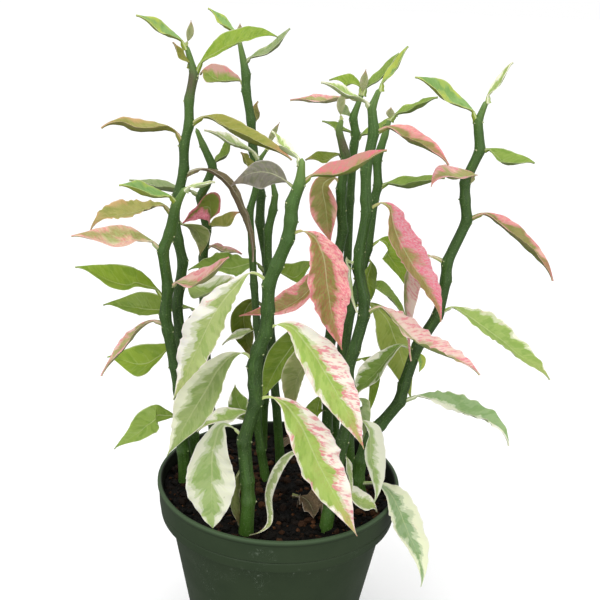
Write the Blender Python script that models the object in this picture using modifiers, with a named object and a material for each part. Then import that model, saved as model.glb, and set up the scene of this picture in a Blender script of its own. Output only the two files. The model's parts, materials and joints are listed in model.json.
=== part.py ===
"""Potted devil's backbone: twelve leafy stalks standing in soil in a round nursery pot.

World axes: +Z up, +X to the photo's right, -Y toward the camera. The origin is the centre of
the pot's underside. Lengths in the tables are millimetres, and the meshes are in metres.
Stalks and leaves are traced on the photo: a track is a row of photo pixels (600 x 600), and
sight() turns a pixel and a depth along Y into a point of the world.
"""

import math
from collections import namedtuple

import bmesh
import bpy
from mathutils import Matrix, Vector, noise
from mathutils.bvhtree import BVHTree

MM = 0.001

# Camera that took the photo, fitted to the pot's rim and side lines.
EYE = Vector((6.0, -359.5, 295.7))
FOCAL = 900.0
PITCH = math.radians(18.54)
ROLL = math.radians(2.6)
CENTRE = 300.0

# Pot: a tapered body, a thicker band below the rim, and holes in its floor.
RIM_RADIUS = 54.0
POT_HEIGHT = 92.0
LIP = 2.0
BAND_BOTTOM = 77.0
BAND_FOOT_RADIUS = 52.4
NECK_RADIUS = 48.6
FOOT_RADIUS = 34.2
WALL = 1.4
FLOOR = 2.0
FOOT_ROUNDING = 0.8
RIM_ROUNDING = 0.6
SHOULDER = 2.0
POT_STEPS = 40
DRAIN_HOLES = 6
DRAIN_RADIUS = 4.0
DRAIN_CIRCLE = 23.0
HOLE_SIDES = 16

# Soil.
SOIL_TOP = 86.0
GAP = 0.35
SOIL_RINGS = (12.0, 24.0, 36.0, 45.0)
LUMP = 0.9

# Stalks: each stands on a leg in a hole of the soil.
STALK_BEVEL = 2
LEG = 9.0
STRAIGHT_FOOT = 2.0

# Leaves: a petiole, then a blade folded along its rib, with a waved edge.
BLADE = 0.8
PETIOLE = 1.9
PETIOLE_SHARE = 0.75
LONGEST_PETIOLE = 0.16
TIP = 0.6
EDGE_TRACED = 28
WAVES = 1.6
WAVE_SKEW = 1.5
ROWS = 8
FALL_HEIGHT = 3.0

Leaf = namedtuple("Leaf", "track toward width turn fold wave")
Stalk = namedtuple("Stalk", "track top_depth base_radius top_radius leaves")


def leaf(track, toward, width, turn, fold=24, wave=0.6):
    """One leaf: its line in pixels from the stalk to the tip, the millimetres its tip comes nearer
    the camera, its width, the degrees it rolls about its rib, the fold of each half (negative
    where the photo shows the underside) and the height of its waved edge. The line is the rib,
    or the upper edge of a leaf that rolls by more than EDGE_TRACED degrees."""
    return Leaf(track, toward, width, turn, fold, wave)


LEFT_TALL = Stalk(
    ((198, 475), (193, 435), (189, 400), (185, 370), (181, 340), (177, 305), (180, 285), (183, 262),
     (178, 240), (174, 215), (178, 195), (184, 170), (184, 145), (189, 125), (189, 100), (194, 74),
     (186, 45)),
    5, 2.8, 1.9,
    (
        leaf(((186, 47), (170, 27), (136, 15)), 8, 9, 68),
        leaf(((186, 46), (190, 33), (191, 20)), 1, 3, 0, 10, 0),
        leaf(((191, 68), (186, 55), (173, 42)), 6, 4.5, 50),
        leaf(((194, 76), (206, 52), (222, 33), (248, 27), (278, 37)), 5, 13, -58),
        leaf(((184, 144), (168, 124), (140, 120), (119, 118), (101, 128)), 10, 13, 78),
        leaf(((189, 126), (212, 114), (245, 124), (292, 160)), 12, 15, -72),
        leaf(((184, 177), (207, 168), (229, 177), (248, 209), (253, 262)), 8, 10, -76),
        leaf(((174, 219), (157, 200), (136, 199), (100, 212), (90, 231)), 12, 14, 61),
        leaf(((175, 222), (190, 232), (200, 256)), -8, 9, 40, -20),
        leaf(((180, 287), (205, 276), (239, 280)), 20, 18, -58),
        leaf(((180, 332), (193, 312), (206, 297)), -4, 9, -70),
        leaf(((184, 356), (171, 344), (156, 343), (138, 346), (107, 357)), -5, 17, 30),
    ),
)

LEFT_FRONT = Stalk(
    ((185, 481), (183, 450), (181, 420), (179, 390), (175, 365), (168, 330), (165, 315), (168, 287),
     (163, 250), (170, 233), (176, 205), (186, 187)),
    -15, 2.9, 2.2,
    (
        leaf(((176, 203), (160, 188), (119, 185)), 18, 13, 74),
        leaf(((185, 189), (195, 183), (215, 182)), 8, 5, -68),
        leaf(((163, 251), (147, 236), (134, 226), (110, 227), (71, 236)), 15, 16, 60),
        leaf(((167, 302), (155, 285), (140, 269), (120, 265), (75, 267)), 5, 18, 54),
        leaf(((166, 325), (150, 320), (136, 325), (116, 347), (101, 376)), 8, 8, 68),
        leaf(((168, 288), (182, 278), (229, 257)), 10, 14, -65),
        leaf(((181, 427), (170, 411), (156, 404), (140, 412), (128, 429), (114, 449)), 12, 14, 35, 16),
    ),
)

LEFT_BACK = Stalk(
    ((215, 455), (208, 380), (204, 320), (203, 258), (207, 230), (200, 197), (206, 185), (213, 167),
     (203, 145), (196, 128)),
    22, 2.4, 1.8,
    (
        leaf(((213, 166), (221, 147), (229, 137)), -12, 9, -60),
        leaf(((200, 196), (184, 187), (129, 180)), -3, 12, 78),
        leaf(((206, 232), (218, 216), (240, 212)), -10, 11, -50),
        leaf(((205, 246), (220, 244), (242, 254)), -10, 8, -65),
        leaf(((204, 316), (180, 303), (160, 295), (143, 292), (125, 296), (103, 305)), -5, 17, 48),
        leaf(((206, 229), (208, 207), (182, 224)), 10, 14, 0, 30),
    ),
)

BACK_TALL = Stalk(
    ((262, 452), (264, 400), (266, 340), (267, 262), (260, 222), (261, 195), (253, 150), (251, 120),
     (246, 90), (246, 75), (239, 40)),
    30, 2.4, 1.9,
    (
        leaf(((246, 88), (234, 73), (220, 65), (207, 64), (200, 75)), -15, 14, 50),
        leaf(((240, 42), (228, 20), (208, 8)), -5, 7, 60),
        leaf(((239, 44), (240, 33), (240, 23)), 0, 3.5, 0, 10, 0),
        leaf(((244, 64), (262, 48), (290, 28)), -5, 8, -65),
        leaf(((252, 135), (250, 112), (258, 101)), -8, 8, -50),
        leaf(((267, 270), (240, 254), (188, 270)), 19, 15, 48, 20, 1.0),
        leaf(((266, 310), (254, 301), (245, 312), (246, 335), (250, 359)), -6, 13, 20),
        leaf(((268, 330), (245, 328), (222, 345)), 0, 6, 50),
    ),
)

THIN = Stalk(
    ((265, 479), (261, 450), (257, 420), (259, 390), (261, 360), (257, 325), (254, 285), (252, 250),
     (250, 210), (257, 185), (259, 161), (268, 148)),
    15, 2.2, 1.4,
    (
        leaf(((258, 158), (245, 143), (204, 130)), 5, 9, 72),
        leaf(((259, 168), (250, 157), (241, 152)), 8, 7, 60),
        leaf(((267, 150), (272, 136), (280, 122)), 1, 2.6, 0, 10, 0),
        leaf(((257, 420), (230, 406), (197, 432)), 10, 13, 55),
        leaf(((257, 424), (243, 412), (235, 384)), -6, 11, 0),
    ),
)

MIDDLE = Stalk(
    ((280, 463), (276, 400), (271, 340), (268, 265), (268, 230), (273, 210), (275, 195), (272, 180)),
    20, 2.3, 1.8,
    (
        leaf(((268, 272), (285, 264), (315, 262)), -5, 15, -45),
        leaf(((273, 183), (266, 166), (262, 158)), -4, 5, 30),
    ),
)

FRONT = Stalk(
    ((246, 533), (248, 500), (247, 480), (244, 440), (256, 402), (255, 385), (254, 366), (258, 350),
     (266, 333), (268, 310), (269, 284), (277, 265), (288, 239), (291, 220), (292, 204), (300, 183),
     (302, 158)),
    -48, 3.1, 2.3,
    (
        leaf(((302, 163), (292, 146), (272, 131)), -10, 8, 68),
        leaf(((303, 184), (320, 169), (350, 155), (387, 150)), -5, 15, -70),
        leaf(((288, 240), (302, 231), (313, 236), (322, 252), (327, 285), (333, 320), (342, 350)),
             8, 17, -15, 24, 1.2),
        leaf(((267, 284), (250, 273), (236, 286), (216, 311), (199, 345), (173, 400)), 12, 18, 15, 24, 1.2),
        leaf(((266, 333), (276, 325), (288, 326), (306, 344), (328, 378), (364, 449)), 12, 18, -15, 24, 1.0),
        leaf(((254, 366), (243, 353), (234, 355), (220, 368), (205, 392), (167, 456)), 8, 18, 15, 24, 1.0),
        leaf(((256, 404), (270, 397), (282, 402), (295, 417), (319, 465), (357, 536)), 14, 19, -12, 24, 1.2),
        leaf(((244, 441), (236, 430), (225, 424), (214, 447), (212, 480), (213, 528)), 4, 20, 0, 16, 1.0),
        leaf(((244, 457), (242, 480), (239, 526)), -5, 8, -55),
        leaf(((291, 188), (265, 172), (231, 186)), -10, 12, 20, -24),
    ),
)

RIGHT_FRONT = Stalk(
    ((326, 530), (331, 500), (337, 470), (343, 440), (349, 415), (351, 395), (347, 372), (354, 350),
     (364, 315), (364, 298), (358, 267), (360, 250), (367, 212), (366, 200), (366, 170),
     (374, 132), (372, 108), (380, 88)),
    -15, 2.9, 2.0,
    (
        leaf(((371, 109), (355, 92), (321, 82)), 8, 8, 76),
        leaf(((379, 90), (386, 72), (408, 46)), 3, 6, -60, 20, 0.3),
        leaf(((378, 133), (398, 124), (449, 165)), 12, 15, -70),
        leaf(((367, 213), (378, 203), (391, 203), (410, 226), (428, 252), (441, 322)), 10, 16, -42, 24, 1.0),
        leaf(((365, 316), (379, 306), (393, 310), (421, 325), (462, 352), (480, 375)), 12, 16, -63, 24, 1.0),
        leaf(((347, 372), (325, 346), (301, 346), (283, 368), (284, 398), (300, 424)), 1, 15, 45),
        leaf(((357, 268), (347, 262), (357, 313)), 8, 10, 74),
        leaf(((349, 424), (361, 420), (376, 425), (386, 450), (374, 503)), 6, 14, -42),
        leaf(((331, 500), (347, 487), (360, 488), (377, 512)), -8, 12, -40),
        leaf(((341, 452), (350, 462), (350, 495)), 2, 6, -60),
        leaf(((351, 399), (363, 398), (363, 440)), 2, 10, -30),
    ),
)

RIGHT_BACK = Stalk(
    ((350, 478), (349, 420), (344, 355), (351, 310), (368, 248), (374, 200), (378, 186), (377, 160),
     (385, 135), (390, 118)),
    8, 2.4, 1.8,
    (
        leaf(((378, 187), (395, 179), (445, 178)), 5, 14, -75),
        leaf(((389, 121), (405, 106), (438, 97)), 0, 9, -74),
        leaf(((390, 121), (391, 107)), 0, 3.5, 0, 10, 0),
        leaf(((368, 248), (382, 238), (414, 305)), 5, 15, -42),
        leaf(((351, 312), (368, 303), (382, 313), (396, 342), (411, 400)), 5, 16, -25, -20),
        leaf(((356, 292), (376, 282), (408, 328)), -5, 10, -55),
        leaf(((366, 256), (372, 262), (369, 304)), 5, 13, -30, -20),
        leaf(((344, 360), (372, 358), (364, 422)), -2, 12, -45),
    ),
)

BACK_RIGHT = Stalk(
    ((333, 458), (338, 380), (346, 300), (350, 200), (354, 145), (356, 135), (353, 118), (363, 92)),
    25, 2.3, 1.8,
    (
        leaf(((362, 94), (356, 77), (329, 80)), -4, 9, 50),
        leaf(((363, 95), (377, 70), (399, 53)), -4, 9, -65),
        leaf(((363, 94), (366, 69)), 0, 3.5, 0, 10, 0),
        leaf(((354, 122), (345, 105), (337, 101)), 0, 5, 40),
        leaf(((354, 136), (340, 124), (322, 121)), 0, 5, 60),
        leaf(((355, 140), (370, 127), (398, 115)), -3, 9, -70),
        leaf(((360, 98), (320, 95), (290, 100)), 0, 8, 74),
    ),
)

MIDDLE_RIGHT = Stalk(
    ((318, 470), (327, 430), (328, 400), (330, 340), (333, 300), (337, 258), (343, 230), (341, 210),
     (341, 190), (346, 157), (339, 131), (342, 118)),
    10, 2.8, 2.0,
    (
        leaf(((342, 120), (341, 103), (346, 90)), 0, 3.5, 0, 10, 0),
        leaf(((341, 190), (334, 178), (325, 182), (326, 208), (331, 244)), 5, 13, 24),
        leaf(((345, 158), (323, 151), (305, 160)), 2, 9, 55),
        leaf(((333, 300), (323, 281), (311, 273), (297, 283), (279, 296), (239, 316)), 12, 14, 50),
        leaf(((330, 346), (315, 336), (300, 339), (285, 356), (262, 402)), 19, 14, 20),
        leaf(((328, 397), (318, 396), (308, 404), (316, 433)), 12, 11, 35),
        leaf(((327, 432), (332, 446), (322, 456)), 5, 6, 20),
        leaf(((322, 452), (290, 455), (268, 495), (268, 525), (250, 535)), 61, 5, 0),
    ),
)

FAR_RIGHT = Stalk(
    ((360, 499), (358, 480), (361, 460), (367, 440), (380, 425), (400, 401), (404, 385), (418, 345),
     (438, 315), (446, 280), (447, 263), (467, 220), (465, 200), (465, 182), (480, 150), (478, 122),
     (487, 100)),
    -5, 2.9, 2.0,
    (
        leaf(((478, 122), (464, 97), (445, 83), (415, 77)), 5, 14, 68),
        leaf(((486, 103), (493, 82), (513, 62)), 3, 6, -60, 20, 0.3),
        leaf(((480, 151), (497, 148), (535, 163)), 8, 13, -62),
        leaf(((465, 183), (475, 173), (459, 165), (443, 166), (431, 187)), 15, 12, 58),
        leaf(((467, 221), (483, 213), (511, 220), (538, 243), (553, 281)), 8, 14, -70),
        leaf(((446, 266), (430, 256), (411, 361)), 8, 14, 60, -20),
        leaf(((414, 352), (399, 344), (384, 348), (358, 372), (354, 404)), 2, 14, 45),
        leaf(((359, 482), (378, 482), (395, 485), (414, 501), (427, 535), (421, 587)), 34, 17, -35, 20, 1.0),
        leaf(((438, 315), (450, 307), (467, 308), (511, 324), (529, 345), (550, 380)), 8, 17, -50, 24, 1.0),
        leaf(((400, 403), (414, 396), (436, 392), (466, 395), (494, 409), (509, 446)), 8, 17, -58, 24, 1.0),
        leaf(((416, 350), (421, 358), (419, 372)), 2, 4, -20),
    ),
)

FALLEN = {
    "dried_leaf": leaf(((292, 503), (304, 506), (311, 515), (313, 526)), 0, 10, 0, 18, 1.2),
    "dried_scrap": leaf(((293, 439), (287, 443), (282, 448), (279, 454)), 0, 8, 0, 18, 1.0),
}

STALKS = {
    "stalk_left_tall": LEFT_TALL,
    "stalk_left_front": LEFT_FRONT,
    "stalk_left_back": LEFT_BACK,
    "stalk_back_tall": BACK_TALL,
    "stalk_thin": THIN,
    "stalk_middle": MIDDLE,
    "stalk_front": FRONT,
    "stalk_right_front": RIGHT_FRONT,
    "stalk_right_back": RIGHT_BACK,
    "stalk_back_right": BACK_RIGHT,
    "stalk_middle_right": MIDDLE_RIGHT,
    "stalk_far_right": FAR_RIGHT,
}


def sight_ray(pixel):
    """Direction of the camera's sight line through a photo pixel."""
    across = pixel[0] - CENTRE
    down = pixel[1] - CENTRE
    level_across = math.cos(ROLL) * across + math.sin(ROLL) * down
    level_down = math.cos(ROLL) * down - math.sin(ROLL) * across
    forward = Vector((0, math.cos(PITCH), -math.sin(PITCH)))
    upward = Vector((0, math.sin(PITCH), math.cos(PITCH)))
    return forward + (Vector((1, 0, 0)) * level_across - upward * level_down) / FOCAL


def sight(pixel, depth):
    """Point of the world that a pixel shows, at a depth along Y."""
    ray = sight_ray(pixel)
    return EYE + ray * ((depth - EYE.y) / ray.y)


def on_soil(pixel):
    """Point of the soil's level that a pixel shows."""
    ray = sight_ray(pixel)
    return EYE + ray * ((SOIL_TOP - EYE.z) / ray.z)


def smooth_path(points, steps):
    """Even row of points and unit tangents along a smooth curve through the given points."""
    spans = [(b - a).length for a, b in zip(points, points[1:])]
    slopes = [(b - a) / span for a, b, span in zip(points, points[1:], spans)]
    if len(points) == 2:
        tangents = [slopes[0], slopes[0]]
    else:
        inner = [
            (slopes[i] * spans[i + 1] + slopes[i + 1] * spans[i]) / (spans[i] + spans[i + 1])
            for i in range(len(slopes) - 1)
        ]
        tangents = [slopes[0] * 2 - inner[0], *inner, slopes[-1] * 2 - inner[-1]]
    total = sum(spans)
    row = []
    for step in range(steps + 1):
        place = total * step / steps
        index = 0
        while index < len(spans) - 1 and place > spans[index]:
            place -= spans[index]
            index += 1
        span = spans[index]
        u = min(place / span, 1.0)
        a, b = points[index], points[index + 1]
        m, n = tangents[index] * span, tangents[index + 1] * span
        point = a * (1 + 2 * u) * (1 - u) ** 2 + m * u * (1 - u) ** 2
        point += b * u * u * (3 - 2 * u) - n * u * u * (1 - u)
        slope = (b - a) * 6 * u * (1 - u) + m * (1 - u) * (1 - 3 * u) + n * u * (3 * u - 2)
        row.append((point, slope.normalized()))
    return row


def outline(u):
    """Half width of a leaf as a share of its widest, for u from the blade's base to its tip."""
    return math.sin(math.pi * u**0.92) ** (1.0 + 0.35 * u) if 0 < u < 1 else 0.0


def collection_named(name, parent):
    """New collection inside another."""
    found = bpy.data.collections.new(name)
    parent.children.link(found)
    return found


def new_object(name, collection, mesh):
    """Object of a mesh in a collection."""
    obj = bpy.data.objects.new(name, mesh)
    collection.objects.link(obj)
    return obj


def apply_modifiers(obj):
    """Keeps the result of an object's modifiers as its mesh."""
    bpy.context.view_layer.update()
    graph = bpy.context.evaluated_depsgraph_get()
    mesh = bpy.data.meshes.new_from_object(obj.evaluated_get(graph))
    old = obj.data
    obj.modifiers.clear()
    obj.data = mesh
    bpy.data.meshes.remove(old)


def stalk_points(stalk):
    """Centre line of a stalk from its leg in the soil to its top."""
    foot = on_soil(stalk.track[0])
    low, high = stalk.track[0][1], stalk.track[-1][1]
    points = [foot - Vector((0, 0, LEG)), foot + Vector((0, 0, STRAIGHT_FOOT))]
    for pixel in stalk.track[1:]:
        share = (low - pixel[1]) / (low - high)
        points.append(sight(pixel, foot.y + (stalk.top_depth - foot.y) * share))
    return points


def tube(name, collection, points, base_radius, top_radius):
    """Round stalk: a bevelled curve that narrows to its top, made a mesh with welded caps."""
    curve = bpy.data.curves.new(name, "CURVE")
    curve.dimensions = "3D"
    curve.bevel_depth = base_radius * MM
    curve.bevel_resolution = STALK_BEVEL
    curve.use_fill_caps = True
    spline = curve.splines.new("POLY")
    spline.points.add(len(points) - 1)
    last = len(points) - 1
    for i, (knot, point) in enumerate(zip(spline.points, points)):
        knot.co = (*(point * MM), 1.0)
        knot.radius = 1 + (top_radius / base_radius - 1) * i / last
    line = new_object(name + "_line", collection, curve)
    bpy.context.view_layer.update()
    graph = bpy.context.evaluated_depsgraph_get()
    mesh = bpy.data.meshes.new_from_object(line.evaluated_get(graph))
    bpy.data.objects.remove(line)
    bm = bmesh.new()
    bm.from_mesh(mesh)
    bmesh.ops.remove_doubles(bm, verts=bm.verts, dist=0.01 * MM)
    bmesh.ops.recalc_face_normals(bm, faces=bm.faces)
    bm.to_mesh(mesh)
    bm.free()
    mesh.materials.clear()
    return new_object(name, collection, mesh)


def root_on(points, pixel_point):
    """Point of the stalk's centre line where the pixel's sight line passes nearest to it."""
    ray = (pixel_point - EYE).normalized()
    best = None
    for a, b in zip(points, points[1:]):
        for k in range(9):
            spot = a.lerp(b, k / 8)
            off = (spot - EYE) - ray * (spot - EYE).dot(ray)
            if best is None or off.length < best[0]:
                best = (off.length, spot)
    return best[1]


def rib_of(points, row):
    """Rib points of a leaf, rooted in the centre line of its stalk, and the way its face looks."""
    root = root_on(points, sight(row.track[0], 0.0))
    reach = [0.0]
    for a, b in zip(row.track, row.track[1:]):
        reach.append(reach[-1] + math.dist(a, b))
    rib = [root]
    for pixel, place in zip(row.track[1:], reach[1:]):
        rib.append(sight(pixel, root.y - row.toward * place / reach[-1]))
    chord = (rib[-1] - rib[0]).normalized()
    view = EYE - root
    facing = (view - chord * view.dot(chord)).normalized()
    return rib, Matrix.Rotation(math.radians(row.turn), 3, chord) @ facing


def petiole_share(track):
    """Share of a leaf's line that its petiole takes."""
    first = math.dist(track[0], track[1])
    whole = sum(math.dist(a, b) for a, b in zip(track, track[1:]))
    return min(PETIOLE_SHARE * first / whole, LONGEST_PETIOLE)


def blade_frames(rib, facing, row, steps):
    """Middle, side, normal, half width and spread of a leaf at even steps along its rib."""
    tilt, roll = math.radians(row.fold), math.radians(row.turn)
    edge = 0.0
    if abs(row.turn) > EDGE_TRACED:
        edge = math.copysign(math.cos(abs(roll) - tilt), roll)
    start = petiole_share(row.track)
    frames = []
    for i, (point, along) in enumerate(smooth_path(rib, steps)):
        t = i / steps
        normal = (facing - along * facing.dot(along)).normalized()
        side = along.cross(normal)
        spread = outline((t - start) / (1 - start))
        least = PETIOLE if t < 0.5 else TIP
        half = max(spread * row.width, least) / 2
        middle = point - (normal * math.sin(roll) + side * math.cos(roll)) * half * edge
        frames.append((middle, side, normal, half, spread))
    return frames


def blade(name, collection, rib, facing, row):
    """Folded and waved leaf: a grid laid along its rib, then thickened."""
    frames = blade_frames(rib, facing, row, ROWS)
    tilt = math.radians(row.fold)
    bm = bmesh.new()
    bmesh.ops.create_grid(bm, x_segments=2, y_segments=ROWS, size=1)
    bmesh.ops.triangulate(bm, faces=bm.faces)
    for vertex in bm.verts:
        v = vertex.co.x
        t = (vertex.co.y + 1) / 2
        middle, side, normal, half, spread = frames[round(t * ROWS)]
        lift = abs(v) * half * math.sin(tilt)
        lift += row.wave * v * v * math.sin(math.tau * WAVES * t + WAVE_SKEW * v) * spread
        vertex.co = (middle + side * v * half * math.cos(tilt) + normal * lift) * MM
    mesh = bpy.data.meshes.new(name)
    bm.to_mesh(mesh)
    bm.free()
    obj = new_object(name, collection, mesh)
    shell = obj.modifiers.new("thickness", "SOLIDIFY")
    shell.thickness = BLADE * MM
    shell.offset = 0.0
    return obj


def leafy_stalk(name, collection, stalk):
    """One stalk with all of its leaves fused to it."""
    points = stalk_points(stalk)
    body = tube(name, collection, points, stalk.base_radius, stalk.top_radius)
    pieces = collection_named(name + "_leaves", bpy.context.scene.collection)
    for index, row in enumerate(stalk.leaves):
        rib, facing = rib_of(points, row)
        blade(f"{name}_leaf_{index}", pieces, rib, facing, row)
    union = body.modifiers.new("leaves", "BOOLEAN")
    union.operation = "UNION"
    union.operand_type = "COLLECTION"
    union.collection = pieces
    union.solver = "MANIFOLD"
    apply_modifiers(body)
    for obj in list(pieces.objects):
        bpy.data.objects.remove(obj)
    bpy.data.collections.remove(pieces)
    return body


def turned(name, collection, profile, steps):
    """Solid of revolution about Z of a profile that starts and ends on the axis and runs down
    its outer side."""
    mesh = bpy.data.meshes.new(name)
    edges = [(i, i + 1) for i in range(len(profile) - 1)]
    mesh.from_pydata([(radius * MM, 0.0, height * MM) for radius, height in profile], edges, [])
    obj = new_object(name, collection, mesh)
    screw = obj.modifiers.new("turn", "SCREW")
    screw.steps = steps
    screw.render_steps = steps
    screw.use_merge_vertices = True
    screw.merge_threshold = 0.01 * MM
    return obj


def drill(name, collection, middle, radius, low, high):
    """Upright cylinder that cuts a hole."""
    bm = bmesh.new()
    bmesh.ops.create_cone(
        bm, cap_ends=True, segments=HOLE_SIDES, radius1=radius * MM, radius2=radius * MM,
        depth=(high - low) * MM)
    mesh = bpy.data.meshes.new(name)
    bm.to_mesh(mesh)
    bm.free()
    obj = new_object(name, collection, mesh)
    obj.location = Vector((middle.x, middle.y, (low + high) / 2)) * MM
    obj.display_type = "WIRE"
    obj.hide_render = True


def cut(body, collection):
    """Takes every cutter of a collection out of a body."""
    hole = body.modifiers.new("holes", "BOOLEAN")
    hole.operation = "DIFFERENCE"
    hole.operand_type = "COLLECTION"
    hole.collection = collection
    hole.solver = "EXACT"


def build_pot(collection, cutters):
    """Nursery pot with its band, rim and drain holes."""
    inside = [
        (0.0, FLOOR),
        (FOOT_RADIUS - WALL, FLOOR),
        (NECK_RADIUS - WALL, BAND_BOTTOM - SHOULDER / 2),
        (BAND_FOOT_RADIUS - WALL, BAND_BOTTOM + SHOULDER),
        (RIM_RADIUS - LIP, POT_HEIGHT - RIM_ROUNDING),
        (RIM_RADIUS - LIP + RIM_ROUNDING, POT_HEIGHT),
    ]
    outside = [
        (RIM_RADIUS - RIM_ROUNDING, POT_HEIGHT),
        (RIM_RADIUS, POT_HEIGHT - RIM_ROUNDING),
        (BAND_FOOT_RADIUS, BAND_BOTTOM),
        (NECK_RADIUS + RIM_ROUNDING, BAND_BOTTOM),
        (NECK_RADIUS, BAND_BOTTOM - RIM_ROUNDING),
        (FOOT_RADIUS, FOOT_ROUNDING),
        (FOOT_RADIUS - FOOT_ROUNDING, 0.0),
        (0.0, 0.0),
    ]
    pot = turned("pot", collection, inside + outside, POT_STEPS)
    for index in range(DRAIN_HOLES):
        angle = math.tau * (index + 0.5) / DRAIN_HOLES
        middle = Vector((math.cos(angle), math.sin(angle), 0)) * DRAIN_CIRCLE
        drill(f"drain_{index}", cutters, middle, DRAIN_RADIUS, -FLOOR, 2 * FLOOR)
    cut(pot, cutters)
    return pot


def soil_height(x, y):
    """Height of the soil's lumpy top."""
    lumps = noise.noise(Vector((x, y, 0)) / 9.0) + 0.5 * noise.noise(Vector((x, y, 40)) / 4.5)
    return SOIL_TOP + LUMP * lumps


def build_soil(collection, cutters):
    """Soil that fills the pot, with a lumpy top and a hole for the leg of each stalk."""
    top = [(radius, SOIL_TOP) for radius in (0.0, *SOIL_RINGS)]
    wall = [
        (RIM_RADIUS - LIP - RIM_ROUNDING - GAP, SOIL_TOP - RIM_ROUNDING),
        (BAND_FOOT_RADIUS - WALL - GAP, BAND_BOTTOM + SHOULDER + GAP / 2),
        (NECK_RADIUS - WALL - GAP, BAND_BOTTOM - SHOULDER / 2),
        (FOOT_RADIUS - WALL - GAP, FLOOR + GAP),
        (0.0, FLOOR + GAP),
    ]
    soil = turned("soil", collection, top + wall, POT_STEPS)
    apply_modifiers(soil)
    for vertex in soil.data.vertices:
        x, y, z = vertex.co / MM
        if abs(z - SOIL_TOP) < 0.01:
            vertex.co.z = soil_height(x, y) * MM
    for name, stalk in STALKS.items():
        foot = on_soil(stalk.track[0])
        drill(name + "_hole", cutters, foot, stalk.base_radius + GAP, SOIL_TOP - LEG - GAP,
              SOIL_TOP + LEG)
    cut(soil, cutters)
    return soil


def fallen_leaf(name, collection, row, soil):
    """Dried leaf lowered until it lies just above the soil."""
    rib = [on_soil(pixel) + Vector((0, 0, FALL_HEIGHT)) for pixel in row.track]
    obj = blade(name, collection, rib, Vector((0, 0, 1)), row)
    apply_modifiers(obj)
    ground = BVHTree.FromPolygons(
        [vertex.co for vertex in soil.data.vertices],
        [polygon.vertices for polygon in soil.data.polygons],
    )
    down = Vector((0, 0, -1))
    drops = [ground.ray_cast(vertex.co, down)[3] for vertex in obj.data.vertices]
    obj.data.transform(Matrix.Translation(down * (min(drops) - GAP * MM)))
    return obj


def paint(obj, name, colour, roughness):
    """Gives an object its own Principled material and smooth shading over gentle angles."""
    material = bpy.data.materials.new(name)
    material.use_nodes = True
    shader = material.node_tree.nodes["Principled BSDF"]
    shader.inputs["Base Color"].default_value = (*colour, 1)
    shader.inputs["Roughness"].default_value = roughness
    material.diffuse_color = (*colour, 1)
    obj.data.materials.clear()
    obj.data.materials.append(material)
    obj.data.shade_smooth()
    obj.data.set_sharp_from_angle(angle=math.radians(40))


def main():
    for obj in list(bpy.data.objects):
        bpy.data.objects.remove(obj)
    scene = bpy.context.scene.collection
    plant = collection_named("potted_devils_backbone", scene)
    drains = collection_named("drain_cutters", scene)
    holes = collection_named("stalk_hole_cutters", scene)
    for index, (name, stalk) in enumerate(STALKS.items()):
        body = leafy_stalk(name, plant, stalk)
        paint(body, name + "_green", (0.18, 0.35 + 0.03 * (index % 4), 0.08), 0.5)
    pot = build_pot(plant, drains)
    apply_modifiers(pot)
    paint(pot, "green_plastic", (0.04, 0.09, 0.05), 0.45)
    soil = build_soil(plant, holes)
    paint(soil, "potting_soil", (0.02, 0.012, 0.008), 0.95)
    for name, row in FALLEN.items():
        scrap = fallen_leaf(name, plant, row, soil)
        paint(scrap, name + "_brown", (0.16, 0.1, 0.06), 0.9)


main()
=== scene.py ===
"""Potted devil's backbone, dressed for a render: leafy stalks, nursery pot, potting soil and studio.

World axes: +Z up, +X to the photo's right, -Y toward the camera. Meshes are in metres. The tables
of stalks and leaves hold photo pixels (600 x 600) and millimetres, as the solids' own source does.
"""

import json
import math
from collections import namedtuple

import bmesh
import bpy
import numpy as np
from mathutils import Matrix, Vector, noise

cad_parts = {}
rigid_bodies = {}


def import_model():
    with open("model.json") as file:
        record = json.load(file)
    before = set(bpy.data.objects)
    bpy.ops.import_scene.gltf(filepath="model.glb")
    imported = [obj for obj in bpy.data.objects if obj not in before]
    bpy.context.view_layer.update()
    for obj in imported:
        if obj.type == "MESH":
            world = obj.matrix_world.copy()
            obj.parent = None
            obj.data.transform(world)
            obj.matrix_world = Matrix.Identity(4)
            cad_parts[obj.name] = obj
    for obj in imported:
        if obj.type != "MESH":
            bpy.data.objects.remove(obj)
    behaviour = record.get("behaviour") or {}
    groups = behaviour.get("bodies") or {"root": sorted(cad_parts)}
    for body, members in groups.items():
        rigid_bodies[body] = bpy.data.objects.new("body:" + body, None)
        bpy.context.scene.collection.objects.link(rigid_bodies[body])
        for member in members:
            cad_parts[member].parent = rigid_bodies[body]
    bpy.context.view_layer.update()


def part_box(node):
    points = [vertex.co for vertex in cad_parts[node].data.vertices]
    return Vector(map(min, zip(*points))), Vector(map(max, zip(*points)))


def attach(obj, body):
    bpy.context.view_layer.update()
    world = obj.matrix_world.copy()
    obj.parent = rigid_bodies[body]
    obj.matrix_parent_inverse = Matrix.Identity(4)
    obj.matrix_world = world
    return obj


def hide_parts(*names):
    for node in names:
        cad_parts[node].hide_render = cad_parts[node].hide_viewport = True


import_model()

bl_info = {
    "name": "Potted Devil's Backbone",
    "version": (1, 0, 0),
    "blender": (4, 5, 0),
    "location": "View3D > Sidebar > Backbone",
    "description": "Builds a variegated devil's backbone in a round nursery pot",
    "category": "Object",
}

MM = 0.001
POT_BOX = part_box("pot")
BODY = "root"

# Camera that took the photo, fitted to the pot's rim and side lines.
EYE = Vector((6.0, -359.5, 295.7))
FOCAL = 900.0
PITCH = math.radians(18.54)
ROLL = math.radians(2.6)
CENTRE = 300.0
SENSOR = 36.0
PHOTO_SIZE = 600.0

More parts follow.
